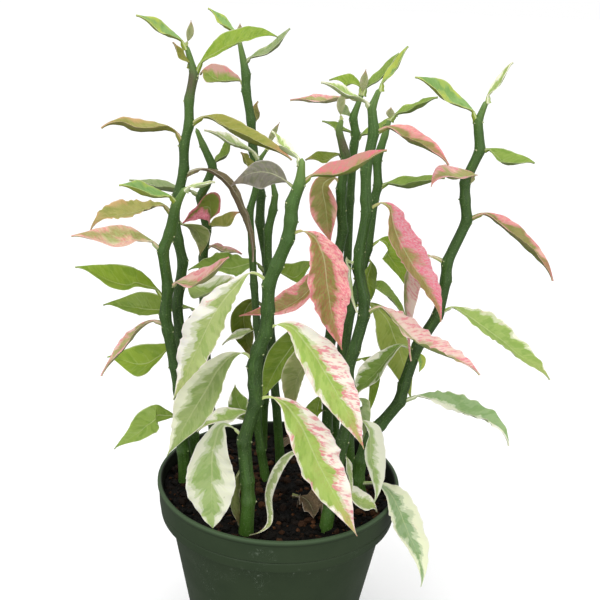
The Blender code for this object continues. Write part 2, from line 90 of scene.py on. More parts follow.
# How stalks and leaves are traced: as in the solids, with finer tips and other petiole shares.
SOIL_TOP = 86.0
LEG = 9.0
STRAIGHT_FOOT = 2.0
FALL_HEIGHT = 3.0
EDGE_TRACED = 28
PETIOLE = 1.9
PETIOLE_SHARE = 1.1
LONGEST_PETIOLE = 0.13
TIP = 0.24
WAVES = 1.6
WAVE_SKEW = 1.5
SMOOTH_WAVE = 0.35
ROW_STEP = 1.1
FEWEST_ROWS = 20

# How a stem is drawn between its joints, in millimetres.
STEM_STEP = 1.3
STEM_CURL = 0.13
JOINT_SWELL = 0.15
FOOT_FLARE = 0.12
TOP_TAPER = 13.0
FOOT_LIGHT = 50.0
JOINT_REACH = 1.9
FLARE_REACH = 5.0
PATCH_REACH = 5.0
STUB_SIZE = 0.34

# Fine forms of a leaf's skin, in metres.
BROAD_LEAF = 0.004
LEAF_SWELL = 0.0016
RIB_WIDTH = 0.0006
RIB_DIP = 0.00025

# Loose pieces on the soil, in metres.
SMALLEST_CRUMB = 0.0003
CRUMB_ROUGHNESS = 0.0013

# Details of the pot and its soil, in metres.
FLOOR = 0.002
BAND_STEP = 0.0016
GROOVE_HEIGHT = 0.0045
DRAIN_HOLES = 6
DRAIN_RADIUS = 0.004
DRAIN_CIRCLE = 0.023
TURN_STEPS = 160
GAP = 0.0002
SOIL_INSET = 0.0006
SOIL_RINGS = 64

# Kinds of line in a stalk's guide mesh.
STEM = 0.0
LEAF = 1.0
SCAR = 2.0


Look = namedtuple("Look", "centre margin under zone pink")
Leaf = namedtuple("Leaf", "track toward width turn fold wave blunt colours")
Stalk = namedtuple("Stalk", "top_depth base_radius top_radius track leaves patch")


def linear(red, green, blue):
    """Linear colour of an sRGB colour given in 0 to 255."""
    shares = (part / 255 for part in (red, green, blue))
    return tuple(s / 12.92 if s <= 0.04045 else ((s + 0.055) / 1.055) ** 2.4 for s in shares)


def look(centre, margin, under, band=0.45, shift=0.0, soft=0.05, flush=0.0, tip=0.0, stain=0.0):
    """Colours of one leaf: its middle zone, its margins and its underside; the zone's half width
    and how far it sits off the rib, as shares of the half width, and how soft its border is; the
    rose over the margins, the rose at the tip and the reddish stain over the middle."""
    return Look(linear(*centre), linear(*margin), linear(*under), (band, shift, soft),
                (flush, tip, stain))


CREAM = (232, 232, 208)
GREEN = (122, 146, 58)
FRESH = (162, 182, 106)
OLIVE = (140, 140, 60)
DULL = (134, 142, 86)
LIME = (160, 180, 84)
UNDER = (122, 144, 56)
PALE = (184, 198, 144)
SALMON = (226, 178, 164)

LOOKS = {
    "green": look(GREEN, LIME, UNDER, 1.1, 0.0, 0.1),
    # deep: a saturated green that paints in the glow of light shining through the leaves at the back.
    "deep": look((104, 126, 30), (116, 136, 40), (102, 122, 24), 1.1, 0.0, 0.1),
    "bright": look((126, 150, 40), (146, 166, 66), (126, 148, 36), 1.1, 0.0, 0.1),
    "lime": look((128, 162, 92), (168, 182, 78), (146, 164, 52), 0.3, 0.45),
    "cream": look(FRESH, CREAM, PALE, 0.46, 0.0, 0.05, 0.1, 0.1),
    "cool_cream": look((136, 160, 116), (214, 218, 186), PALE, 0.44, 0.1, 0.05, 0.05),
    "cream_low": look((142, 168, 116), (236, 236, 214), PALE, 0.62, -0.62, 0.05),
    "cream_high": look((154, 176, 96), CREAM, PALE, 0.8, 0.34, 0.05, 0.1, 0.2),
    "cream_patch": look((146, 168, 88), CREAM, PALE, 1.06, 0.2, 0.05, 0.12, 0.1),
    "streaked": look((160, 184, 92), (234, 230, 214), PALE, 0.5, 0.2, 0.05, 0.36, 0.6, 0.3),
    "white_edge": look((152, 166, 102), (222, 220, 208), PALE, 0.72, -0.5, 0.06, 0.2, 0.1),
    "shaded_edge": look((138, 154, 94), (208, 210, 182), PALE, 0.74, -0.5, 0.07, 0.1),
    "wide_cream": look((154, 174, 112), (214, 216, 192), PALE, 0.4, 0.1, 0.05, 0.0, 0.0, 0.3),
    "salmon": look((136, 128, 66), SALMON, (156, 162, 84), 0.56, 0.2, 0.1, 1.0, 0.5, 0.9),
    "bright_rose": look((132, 150, 62), (240, 158, 172), (206, 128, 128), 0.34, 0.24, 0.08, 1.0, 0.6, 0.2),
    "pink_half": look((146, 140, 78), (206, 156, 160), (136, 150, 66), 0.62, 0.5, 0.22, 0.9, 0.5, 0.6),
    "rosy": look((134, 140, 66), (178, 130, 114), (130, 150, 54), 0.5, 0.4, 0.25, 0.5, 0.6, 0.3),
    "pink_high": look((120, 142, 50), (182, 138, 126), (116, 138, 44), 0.62, -0.4, 0.2, 0.3, 0.6, 0.2),
    "pink_edge": look((130, 130, 68), (214, 164, 150), (134, 142, 66), 0.66, 0.08, 0.12, 0.6, 0.7, 0.4),
    "mottled": look((156, 162, 104), (222, 200, 186), (150, 166, 84), 0.3, 0.42, 0.16, 0.5, 0.4, 0.5),
    "freckled": look((156, 164, 100), (222, 204, 172), PALE, 0.36, 0.5, 0.2, 0.62, 0.3, 0.6),
    "olive": look(OLIVE, (158, 152, 78), (124, 132, 46), 0.95, 0.0, 0.2, 0.1, 0.7, 0.3),
    "orange_edge": look((150, 146, 78), (190, 152, 104), (138, 138, 60), 0.78, 0.1, 0.2, 0.15, 0.4, 0.5),
    "dark_olive": look((98, 112, 22), (116, 118, 40), (92, 108, 18), 0.95, 0.0, 0.2, 0.1, 0.2, 0.4),
    "smooth_olive": look((146, 160, 70), (152, 164, 74), (146, 160, 68), 1.1, 0.0, 0.1),
    "dull": look(DULL, (178, 180, 132), (130, 140, 78), 0.8, 0.0, 0.15, 0.1, 0.3, 0.3),
    "grey_green": look((134, 150, 100), (170, 178, 132), (134, 148, 92), 0.9, 0.0, 0.1),
    "grey_brown": look((108, 104, 92), (144, 138, 126), (100, 96, 84), 0.9, 0.0, 0.1, 0.0, 0.1, 0.3),
    "brown": look((112, 98, 74), (132, 116, 92), (108, 94, 70), 0.8, 0.0, 0.2, 0.0, 0.1, 0.6),
    "pale": look((174, 188, 130), CREAM, PALE, 0.5, 0.0, 0.06, 0.0, 0.2),
    "pink_pale": look((160, 160, 102), (218, 178, 168), (178, 178, 126), 0.4, 0.1, 0.12, 0.5, 0.8, 0.4),
    "spear": look((150, 154, 110), (178, 170, 140), (146, 150, 104), 0.8, 0.0, 0.2, 0.1, 0.5, 0.3),
    "dark_edge": look((116, 142, 60), CREAM, PALE, 0.66, 0.0, 0.05, 0.05, 0.1),
    "dried": look((88, 72, 52), (122, 102, 76), (78, 64, 48), 0.4, 0.0, 0.2),
}


def leaf(colours, toward, width, turn, *track, fold=24, wave=0.6, blunt=0.0):
    """One leaf: its look, the millimetres its tip comes nearer the camera, its width, the degrees
    it rolls about its rib, and its line in pixels from the stalk to the tip. Then the fold of each
    half (negative where the photo shows the underside), the height of its waved edge and how round
    its end is. The line is the rib, or the upper edge of a leaf that rolls by over EDGE_TRACED."""
    return Leaf(track, toward, width, turn, fold, wave, blunt, colours)


def stalk(top_depth, base_radius, top_radius, track, *leaves, patch=None):
    """One stalk: how far back its top stands, its two radii, its line in pixels, its leaves and the
    pixel of a brown patch on its bark."""
    return Stalk(top_depth, base_radius, top_radius, track, leaves, patch)


# The stalks, roughly from the left of the photo to its right.
STALKS = {
    "stalk_left_tall": stalk(
        5, 2.8, 1.9,
        ((198, 475), (193, 435), (189, 400), (185, 370), (181, 340), (177, 305), (180, 285), (183, 262),
         (178, 240), (174, 215), (178, 195), (184, 170), (184, 145), (189, 125), (189, 100), (194, 74),
         (186, 45)),
        leaf("lime", 8, 9, 68, (186, 47), (170, 27), (136, 15)),
        leaf("spear", 1, 3, 0, (186, 46), (190, 33), (191, 20), fold=10, wave=0),
        leaf("olive", 6, 4.5, 50, (191, 68), (186, 55), (173, 42)),
        leaf("bright", 5, 13, -58, (194, 76), (206, 52), (222, 33), (248, 27), (278, 37)),
        leaf("orange_edge", 10, 13, 78, (184, 144), (168, 124), (140, 120), (119, 118), (101, 128)),
        leaf("olive", 12, 15, -72, (189, 126), (212, 114), (245, 124), (292, 160)),
        leaf("brown", 8, 10, -76, (184, 177), (207, 168), (229, 177), (248, 209), (253, 262)),
        leaf("orange_edge", 12, 14, 61, (174, 219), (157, 200), (136, 199), (100, 212), (90, 231),
             wave=1.0),
        leaf("dull", -8, 9, 40, (175, 222), (190, 232), (200, 256), fold=-20),
        leaf("cream_high", 20, 18, -58, (180, 287), (205, 276), (239, 280)),
        leaf("deep", -4, 9, -70, (180, 332), (193, 312), (206, 297)),
        leaf("bright", -5, 17, 30, (184, 356), (171, 344), (156, 343), (138, 346), (107, 357)),
        patch=(192, 82)),
    "stalk_left_front": stalk(
        -15, 2.9, 2.2,
        ((185, 481), (183, 450), (181, 420), (179, 390), (175, 365), (168, 330), (165, 315), (168, 287),
         (163, 250), (170, 233), (176, 205), (186, 187)),
        leaf("lime", 18, 13, 74, (176, 203), (160, 188), (119, 185)),
        leaf("pale", 8, 5, -68, (185, 189), (195, 183), (215, 182)),
        leaf("freckled", 15, 16, 60, (163, 251), (147, 236), (134, 226), (110, 227), (71, 236)),
        leaf("bright", 5, 18, 54, (167, 302), (155, 285), (140, 269), (120, 265), (75, 267)),
        leaf("pink_pale", 8, 8, 68, (166, 325), (150, 320), (136, 325), (116, 347), (101, 376)),
        leaf("pink_pale", 10, 14, -65, (168, 288), (182, 278), (229, 257)),
        leaf("green", 12, 14, 35, (181, 427), (170, 411), (156, 404), (140, 412), (128, 429),
             (114, 449), fold=16)),
    "stalk_left_back": stalk(
        22, 2.4, 1.8,
        ((215, 455), (208, 380), (204, 320), (203, 258), (207, 230), (200, 197), (206, 185), (213, 167),
         (203, 145), (196, 128)),
        leaf("deep", -12, 9, -60, (213, 166), (221, 147), (229, 137)),
        leaf("grey_green", -3, 12, 78, (200, 196), (184, 187), (129, 180)),
        leaf("olive", -10, 11, -50, (206, 232), (218, 216), (240, 212)),
        leaf("pink_pale", -10, 8, -65, (205, 246), (220, 244), (242, 254)),
        leaf("deep", -5, 17, 48, (204, 316), (180, 303), (160, 295), (143, 292), (125, 296),
             (103, 305)),
        leaf("bright_rose", 10, 15, 0, (206, 229), (208, 207), (182, 224), fold=30, wave=1.2)),
    "stalk_back_tall": stalk(
        30, 2.4, 1.9,
        ((262, 452), (264, 400), (266, 340), (267, 262), (260, 222), (261, 195), (253, 150), (251, 120),
         (246, 90), (246, 75), (239, 40)),
        leaf("pink_high", -15, 14, 50, (246, 88), (234, 73), (220, 65), (207, 64), (200, 75)),
        leaf("lime", -5, 7, 60, (240, 42), (228, 20), (208, 8)),
        leaf("spear", 0, 3.5, 0, (239, 44), (240, 33), (240, 23), fold=10, wave=0),
        leaf("grey_green", -5, 8, -65, (244, 64), (262, 48), (290, 28)),
        leaf("orange_edge", -8, 8, -50, (252, 135), (250, 112), (258, 101)),
        leaf("green", 19, 15, 48, (267, 270), (240, 254), (188, 270), fold=20, wave=1.0),
        leaf("dark_olive", -6, 13, 20, (266, 310), (254, 301), (245, 312), (246, 335), (250, 359)),
        leaf("pale", 0, 6, 50, (268, 330), (245, 328), (222, 345))),
    "stalk_thin": stalk(
        15, 2.2, 1.4,
        ((265, 479), (261, 450), (257, 420), (259, 390), (261, 360), (257, 325), (254, 285), (252, 250),
         (250, 210), (257, 185), (259, 161), (268, 148)),
        leaf("pale", 5, 9, 72, (258, 158), (245, 143), (204, 130)),
        leaf("olive", 8, 7, 60, (259, 168), (250, 157), (241, 152)),
        leaf("spear", 1, 2.6, 0, (267, 150), (272, 136), (280, 122), fold=10, wave=0),
        leaf("cream", 10, 13, 55, (257, 420), (230, 406), (197, 432)),
        leaf("dark_edge", -6, 11, 0, (257, 424), (243, 412), (235, 384))),
    "stalk_middle": stalk(
        20, 2.3, 1.8,
        ((280, 463), (276, 400), (271, 340), (268, 265), (268, 230), (273, 210), (275, 195),
         (272, 180)),
        leaf("deep", -5, 15, -45, (268, 272), (285, 264), (315, 262)),
        leaf("green", -4, 5, 30, (273, 183), (266, 166), (262, 158))),
    "stalk_front": stalk(
        -48, 3.1, 2.3,
        ((246, 533), (248, 500), (247, 480), (244, 440), (256, 402), (255, 385), (254, 366), (258, 350),
         (266, 333), (268, 310), (269, 284), (277, 265), (288, 239), (291, 220), (292, 204), (300, 183),
         (302, 158)),
        leaf("cream", -10, 8, 68, (302, 163), (292, 146), (272, 131)),
        leaf("rosy", -5, 15, -70, (303, 184), (320, 169), (350, 155), (387, 150)),
        leaf("salmon", 8, 17, -15, (288, 240), (302, 231), (313, 236), (322, 252), (327, 285),
             (333, 320), (342, 350), wave=1.2),
        leaf("white_edge", 12, 15, 15, (267, 284), (250, 273), (236, 286), (216, 311), (199, 345),
             (173, 400), wave=1.2),
        leaf("streaked", 12, 18, -15, (266, 333), (276, 325), (288, 326), (306, 344), (328, 378),
             (364, 449), wave=1.0),
        leaf("shaded_edge", 8, 17, 15, (254, 366), (243, 353), (234, 355), (220, 368), (205, 392),
             (167, 456), wave=1.0),
        leaf("streaked", 14, 19, -12, (256, 404), (270, 397), (282, 402), (295, 417), (319, 465),
             (357, 536), wave=1.2),
        leaf("wide_cream", 4, 20, 0, (244, 441), (236, 430), (225, 424), (214, 447), (212, 480),
             (213, 528), fold=16, wave=1.0, blunt=0.6),
        leaf("dull", -5, 8, -55, (244, 457), (242, 480), (239, 526)),
        leaf("grey_brown", -10, 12, 20, (291, 188), (265, 172), (231, 186), fold=-24)),
    "stalk_right_front": stalk(
        -15, 2.9, 2.0,
        ((326, 530), (331, 500), (337, 470), (343, 440), (349, 415), (351, 395), (347, 372), (354, 350),
         (364, 315), (364, 298), (358, 267), (360, 250), (367, 212), (366, 200), (366, 170), (374, 132),
         (372, 108), (380, 88)),
        leaf("cream", 8, 8, 76, (371, 109), (355, 92), (321, 82)),
        leaf("lime", 3, 6, -60, (379, 90), (386, 72), (408, 46), fold=20, wave=0.3),
        leaf("pink_edge", 12, 15, -70, (378, 133), (398, 124), (449, 165)),
        leaf("pink_half", 10, 16, -42, (367, 213), (378, 203), (391, 203), (410, 226), (428, 252),
             (441, 322), wave=1.0),
        leaf("mottled", 12, 16, -63, (365, 316), (379, 306), (393, 310), (421, 325), (462, 352),
             (480, 375), wave=1.0),
        leaf("dull", 1, 15, 45, (347, 372), (325, 346), (301, 346), (283, 368), (284, 398), (300, 424)),
        leaf("pale", 8, 10, 74, (357, 268), (347, 262), (357, 313)),
        leaf("wide_cream", 6, 14, -42, (349, 424), (361, 420), (376, 425), (386, 450), (374, 503)),
        leaf("cream", -8, 12, -40, (331, 500), (347, 487), (360, 488), (377, 512)),
        leaf("pale", 2, 6, -60, (341, 452), (350, 462), (350, 495)),
        leaf("grey_green", 2, 10, -30, (351, 399), (363, 398), (363, 440))),
    "stalk_right_back": stalk(
        8, 2.4, 1.8,
        ((350, 478), (349, 420), (344, 355), (351, 310), (368, 248), (374, 200), (378, 186), (377, 160),
         (385, 135), (390, 118)),
        leaf("green", 5, 14, -75, (378, 187), (395, 179), (445, 178)),
        leaf("green", 0, 9, -74, (389, 121), (405, 106), (438, 97)),
        leaf("spear", 0, 3.5, 0, (390, 121), (391, 107), fold=10, wave=0),
        leaf("bright", 5, 15, -42, (368, 248), (382, 238), (414, 305)),
        leaf("smooth_olive", 5, 16, -25, (351, 312), (368, 303), (382, 313), (396, 342), (411, 400),
             fold=-20),
        leaf("green", -5, 10, -55, (356, 292), (376, 282), (408, 328)),
        leaf("deep", 5, 13, -30, (366, 256), (372, 262), (369, 304), fold=-20),
        leaf("bright", -2, 12, -45, (344, 360), (372, 358), (364, 422))),
    "stalk_back_right": stalk(
        25, 2.3, 1.8,
        ((333, 458), (338, 380), (346, 300), (350, 200), (354, 145), (356, 135), (353, 118), (363, 92)),
        leaf("bright", -4, 9, 50, (362, 94), (356, 77), (329, 80)),
        leaf("green", -4, 9, -65, (363, 95), (377, 70), (399, 53)),
        leaf("spear", 0, 3.5, 0, (363, 94), (366, 69), fold=10, wave=0),
        leaf("grey_green", 0, 5, 40, (354, 122), (345, 105), (337, 101)),
        leaf("green", 0, 5, 60, (354, 136), (340, 124), (322, 121)),
        leaf("green", -3, 9, -70, (355, 140), (370, 127), (398, 115)),
        leaf("pink_pale", 0, 8, 74, (360, 98), (320, 95), (290, 100))),
    "stalk_middle_right": stalk(
        10, 2.8, 2.0,
        ((318, 470), (327, 430), (328, 400), (330, 340), (333, 300), (337, 258), (343, 230), (341, 210),
         (341, 190), (346, 157), (339, 131), (342, 118)),
        leaf("spear", 0, 3.5, 0, (342, 120), (341, 103), (346, 90), fold=10, wave=0),
        leaf("pink_edge", 5, 13, 24, (341, 190), (334, 178), (325, 182), (326, 208), (331, 244)),
        leaf("dark_olive", 2, 9, 55, (345, 158), (323, 151), (305, 160)),
        leaf("salmon", 12, 14, 50, (333, 300), (323, 281), (311, 273), (297, 283), (279, 296),
             (239, 316)),
        leaf("deep", 19, 14, 20, (330, 346), (315, 336), (300, 339), (285, 356), (262, 402)),
        leaf("deep", 12, 11, 35, (328, 397), (318, 396), (308, 404), (316, 433)),
        leaf("pale", 5, 6, 20, (327, 432), (332, 446), (322, 456)),
        leaf("pale", 61, 5, 0, (322, 452), (290, 455), (268, 495), (268, 525), (250, 535)),
        patch=(345, 145)),
    "stalk_far_right": stalk(
        -5, 2.9, 2.0,
        ((360, 499), (358, 480), (361, 460), (367, 440), (380, 425), (400, 401), (404, 385), (418, 345),
         (438, 315), (446, 280), (447, 263), (467, 220), (465, 200), (465, 182), (480, 150), (478, 122),
         (487, 100)),
        leaf("lime", 5, 14, 68, (478, 122), (464, 97), (445, 83), (415, 77)),
        leaf("cream", 3, 6, -60, (486, 103), (493, 82), (513, 62), fold=20, wave=0.3),
        leaf("green", 8, 13, -62, (480, 151), (497, 148), (535, 163)),
        leaf("pink_pale", 15, 12, 58, (465, 183), (475, 173), (459, 165), (443, 166), (431, 187)),
        leaf("pink_edge", 8, 14, -70, (467, 221), (483, 213), (511, 220), (538, 243), (553, 281)),
        leaf("mottled", 8, 14, 60, (446, 266), (430, 256), (411, 361), fold=-20),
        leaf("dark_edge", 2, 14, 45, (414, 352), (399, 344), (384, 348), (358, 372), (354, 404)),
        leaf("cool_cream", 34, 17, -35, (359, 482), (378, 482), (395, 485), (414, 501), (427, 535),
             (421, 587), fold=20, wave=1.0),
        leaf("cream_patch", 8, 17, -50, (438, 315), (450, 307), (467, 308), (511, 324), (529, 345),
             (550, 380), wave=1.0),
        leaf("cream_low", 8, 17, -58, (400, 403), (414, 396), (436, 392), (466, 395), (494, 409),
             (509, 446), wave=1.0),
        leaf("lime", 2, 4, -20, (416, 350), (421, 358), (419, 372))),
}

FALLEN = {
    "dried_leaf": leaf("dried", 0, 11, 0, (292, 503), (304, 506), (311, 515), (313, 526), fold=18,
                       wave=1.5),
    "dried_scrap": leaf("dried", 0, 8, 0, (293, 439), (287, 443), (282, 448), (279, 454), fold=18,
                        wave=1.0),
}


def measure(name, description, metres):
    """Length that a user can change."""
    return bpy.props.FloatProperty(name=name, description=description, default=metres, unit="LENGTH")


def amount(name, description, count):
    """Count that a user can change."""
    return bpy.props.IntProperty(name=name, description=description, default=count, min=0)


def shade(name, description, *colour):
    """Colour that a user can change, given in sRGB from 0 to 255."""
    return bpy.props.FloatVectorProperty(
        name=name, description=description, subtype="COLOR", default=linear(*colour))


class BackboneSizes(bpy.types.PropertyGroup):
    """Sizes in metres, and counts, that a user would change."""

    rim_radius: measure("Rim radius", "Outer radius of the pot's rim", POT_BOX[1].x)
    pot_height: measure("Pot height", "Height of the pot", POT_BOX[1].z)
    foot_radius: measure("Foot radius", "Radius of the pot's underside", 0.0342)
    neck_radius: measure("Neck radius", "Radius of the body just under the band", 0.0486)
    band_height: measure("Band height", "Height of the thicker band below the rim", 0.015)
    wall: measure("Wall", "Thickness of the pot's wall", 0.0014)
    lip: measure("Lip", "Thickness of the rim", 0.002)
    blade: measure("Blade", "Thickness of a leaf blade", 0.00055)
    rib: measure("Rib", "How far the rib stands out below a leaf", 0.0005)
    ripple: measure("Ripple", "Height of the fine ripples of a leaf's edge", 0.0008)
    crumb: measure("Crumb", "Half the width of a large crumb before it is stretched", 0.0019)
    crumbs: amount("Crumbs", "Crumbs on a square metre of soil", 270000)
    chips: amount("Bark chips", "Bark chips on a square metre of soil", 9000)


class BackboneColours(bpy.types.PropertyGroup):
    """Colours that a user would change."""

    plastic: shade("Plastic", "Colour of the pot", 44, 58, 36)
    scuff: shade("Scuffs", "Colour of the dust and scratches on the pot", 140, 152, 136)
    bark: shade("Stem", "Dark green of an old stem", 38, 64, 14)
    young: shade("Young stem", "Lighter green of a young stem", 80, 116, 44)
    brown: shade("Brown patch", "Brown patches on the stems", 92, 82, 60)
    scar: shade("Leaf scar", "Pale scars where leaves fell", 178, 182, 138)
    rose: shade("Rose", "Deep pink of the leaf margins", 212, 92, 118)
    soil: shade("Soil", "Dark potting soil", 8, 7, 5)
    chip: shade("Bark chip", "Bark chips in the soil", 122, 78, 46)


def sizes():
    """The scene's sizes."""
    return bpy.context.scene.backbone_sizes


def colours():
    """The scene's colours."""
    return bpy.context.scene.backbone_colours


class Wire:
    """Output of a node, which takes part in sums and products of other outputs and numbers."""

    def __init__(self, tree, socket):
        self.tree = tree
        self.socket = socket

    def math(self, operation, *others):
        return add(self.tree, "ShaderNodeMath", self, *others, operation=operation)

    def __add__(self, other):
        return self.math("ADD", other)

    def __sub__(self, other):
        return self.math("SUBTRACT", other)

    def __mul__(self, other):
        return self.math("MULTIPLY", other)

    def __truediv__(self, other):
        return self.math("DIVIDE", other)

    def __abs__(self):
        return self.math("ABSOLUTE")

    def less(self, other=1.0):
        """The other value less this one."""
        return add(self.tree, "ShaderNodeMath", other, self, operation="SUBTRACT")

    def sine(self):
        return self.math("SINE")

    def power(self, exponent):
        return self.math("POWER", exponent)

    def ramp(self, low, high, first=0.0, last=1.0):
        """Smooth step from first to last as this value goes from low to high."""
        return add(self.tree, "ShaderNodeMapRange", self, low, high, first, last,
                   interpolation_type="SMOOTHSTEP")

    def scaled(self, share):
        """This vector times a number."""
        return add(self.tree, "ShaderNodeVectorMath", self, share, operation="SCALE")

    def plus(self, other):
        """This vector plus another."""
        return add(self.tree, "ShaderNodeVectorMath", self, other, operation="ADD")

    def parts(self):
        """The three numbers of this vector."""
        first = add(self.tree, "ShaderNodeSeparateXYZ", self)
        return [Wire(self.tree, socket) for socket in first.socket.node.outputs]


def feed(tree, socket, value):
    """Links an output to a socket, or sets the socket to a plain value."""
    if isinstance(value, Wire):
        tree.links.new(value.socket, socket)
        return
    if socket.type == "RGBA" and len(value) == 3:
        value = (*value, 1.0)
    socket.default_value = value


def add(tree, kind, *values, out=0, named=None, **settings):
    """New node: settings are its own properties, values go to its inputs in order and named ones
    to inputs by name. Gives back one of its outputs."""
    node = tree.nodes.new(kind)
    for key, value in settings.items():
        setattr(node, key, value)
    open_inputs = [socket for socket in node.inputs if socket.enabled]
    for socket, value in zip(open_inputs, values):
        feed(tree, socket, value)
    for name, value in (named or {}).items():
        feed(tree, next(socket for socket in open_inputs if socket.name == name), value)
    return Wire(tree, [socket for socket in node.outputs if socket.enabled][out])


def xyz(tree, x, y, z):
    """Vector of three numbers."""
    return add(tree, "ShaderNodeCombineXYZ", x, y, z)


def mix(tree, share, first, second, blend="MIX"):
    """Colour that goes from first to second."""
    return add(tree, "ShaderNodeMix", share, first, second, data_type="RGBA", blend_type=blend)


def speckle(tree, place, scale, detail=2.0, rough=0.5):
    """Noise around 0.5 at a place."""
    return add(tree, "ShaderNodeTexNoise",
               named={"Vector": place, "Scale": scale, "Detail": detail, "Roughness": rough})


def node_group(name, kind, outputs, **inputs):
    """Makes a node group of a function that lays its nodes: the function gets the tree and the
    inputs, and gives back what the outputs get. An input is its default or its kind of socket, and
    an underscore in its name stands for a space. The group is built once."""
    def decorate(lay_nodes):
        def group():
            if name in bpy.data.node_groups:
                return bpy.data.node_groups[name]
            tree = bpy.data.node_groups.new(name, kind + "NodeTree")
            for title, value in inputs.items():
                socket_kind = {float: "Float", int: "Int"}.get(type(value), value)
                socket = tree.interface.new_socket(
                    title.replace("_", " "), in_out="INPUT", socket_type=f"NodeSocket{socket_kind}")
                if value is not socket_kind:
                    socket.default_value = value
            for title, socket_kind in outputs.items():
                tree.interface.new_socket(title, in_out="OUTPUT", socket_type=f"NodeSocket{socket_kind}")
            start = tree.nodes.new("NodeGroupInput")
            end = tree.nodes.new("NodeGroupOutput")
            given = [Wire(tree, socket) for socket in start.outputs if socket.name]
            for socket, wire in zip(end.inputs, lay_nodes(tree, *given)):
                feed(tree, socket, wire)
            return tree
        return group
    return decorate


def use_group(tree, group, **values):
    """Places a shader group, with its values by socket name (an underscore stands for a space).
    Gives back its output, or all of them where it has several."""
    node = tree.nodes.new("ShaderNodeGroup")
    node.node_tree = group
    for name, value in values.items():
        feed(tree, node.inputs[name.replace("_", " ")], value)
    wires = [Wire(tree, socket) for socket in node.outputs]
    return wires[0] if len(wires) == 1 else wires


@node_group("Mottle", "Shader", {"Mask": "Float"},
            Place="Vector", Scale=100.0, Stretch=1.0, Low=0.45, High=0.6)
def mottle_group(tree, place, scale, stretch, low, high):
    """Patches of noise with soft borders, stretched along Y."""
    x, y, z = place.parts()
    return [speckle(tree, xyz(tree, x, y / stretch, z), scale, 4.0, 0.6).ramp(low, high)]


def mottle(tree, place, scale, low=0.45, high=0.6, stretch=1.0):
    """Mask of soft patches at a place."""
    return use_group(
        tree, mottle_group(), Place=place, Scale=scale, Stretch=stretch, Low=low, High=high)


@node_group("Relief", "Shader", {"Normal": "Vector"},
            Place="Vector", Scale=400.0, Height=0.0, Grain=0.5, Depth=0.0001)
def relief_group(tree, place, scale, height, grain, depth):
    """Fine grain of a surface as a normal."""
    height = speckle(tree, place, scale, 4.0, 0.6) * grain + height
    return [add(tree, "ShaderNodeBump", named={"Strength": 1.0, "Distance": depth, "Height": height})]


def new_material(name, roughness, **finish):
    """Material with its Principled shader: gives back the material, its tree and the shader."""
    paint = bpy.data.materials.new(name)
    paint.use_nodes = True
    tree = paint.node_tree
    shader = tree.nodes["Principled BSDF"]
    shader.inputs["Roughness"].default_value = roughness
    for key, value in finish.items():
        shader.inputs[key.replace("_", " ")].default_value = value
    return paint, tree, shader


def finish_shader(tree, shader, place, colour, roughness, **relief):
    """Feeds a shader its colour, its roughness and the fine relief of its surface."""
    normal = use_group(tree, relief_group(), Place=place, **relief)
    for name, value in (("Base Color", colour), ("Roughness", roughness), ("Normal", normal)):
        feed(tree, shader.inputs[name], value)


def attribute(tree, name, out="Vector"):
    """Attribute of the mesh, by name."""
    node = tree.nodes.new("ShaderNodeAttribute")
    node.attribute_name = name
    return Wire(tree, node.outputs[out])


def object_place(tree):
    """Place in the object's own space."""
    return add(tree, "ShaderNodeTexCoord", out=3)


@node_group("Leaf zones", "Shader", {"Middle": "Float", "Halftone": "Float", "Patches": "Float"},
            Place="Vector", Across=0.0, Band=0.5, Shift=0.0, Soft=0.05)
def zones_group(tree, place, across, band, shift, soft):
    """Masks of a variegated leaf: its green middle, a half tone round it and darker patches in it.
    Places count in half widths of the leaf, slanted so that they run along the side veins."""
    reach, x, seed = place.parts()
    lobes = speckle(tree, xyz(tree, reach * 0.9, x * 0.7, seed), 1.3, 1.0)
    jags = speckle(tree, xyz(tree, reach, x * 0.35, seed + 5.0), 4.2, 3.0, 0.6)
    zone = abs(across - shift) + (lobes - 0.5) * 1.5 + (jags - 0.5) * 0.65 - band
    middle, halftone = [area.ramp(soft * -1.0, soft, 1.0, 0.0) for area in (zone, zone - 0.2)]
    patches = speckle(tree, xyz(tree, reach, x * 0.8, seed + 3.0), 1.9, 3.0, 0.55)
    return middle, halftone, patches.ramp(0.5, 0.58)


@node_group("Leaf blush", "Shader", {"Blush": "Float", "Dabs": "Float", "Freckles": "Float"},
            Place="Vector", Flush=0.0)
def blush_group(tree, place, flush):
    """Masks of a leaf's rose: where it lies, its dabs along the side veins and its freckles."""
    reach, x, seed = place.parts()
    clouds = speckle(tree, xyz(tree, reach * 0.8, x, seed + 11.0), 0.9, 2.0)
    blush = (clouds + flush * 0.5).ramp(0.6, 0.74) * flush.ramp(0.0, 0.3)
    dabs = speckle(tree, xyz(tree, reach, x * 0.42, seed + 7.0), 7.0, 4.0, 0.65)
    freckles = speckle(tree, xyz(tree, reach, x * 0.75, seed + 17.0), 13.0, 3.0, 0.7)
    return blush, dabs.ramp(0.48, 0.6), freckles.ramp(0.45, 0.55)


@node_group("Leaf veins", "Shader", {"Veins": "Float", "Midrib": "Float"},
            Place="Vector", Across=0.0, Along=0.0)
def veins_group(tree, place, across, along):
    """Masks of a leaf's side veins and midrib."""
    reach, x, seed = place.parts()
    wander = speckle(tree, xyz(tree, reach, x, seed + 21.0), 1.5, 2.0) - 0.5
    waves = (reach * 9.5 + wander * 5.0).sine()
    inside = abs(across).ramp(0.5, 0.9, 1.0, 0.0)
    line = (abs(x) / (along * 0.05).less(0.075)).ramp(0.3, 1.0, 1.0, 0.0)
    return waves.ramp(0.8, 1.0) * inside, line * along.ramp(0.45, 0.95, 1.0, 0.1)


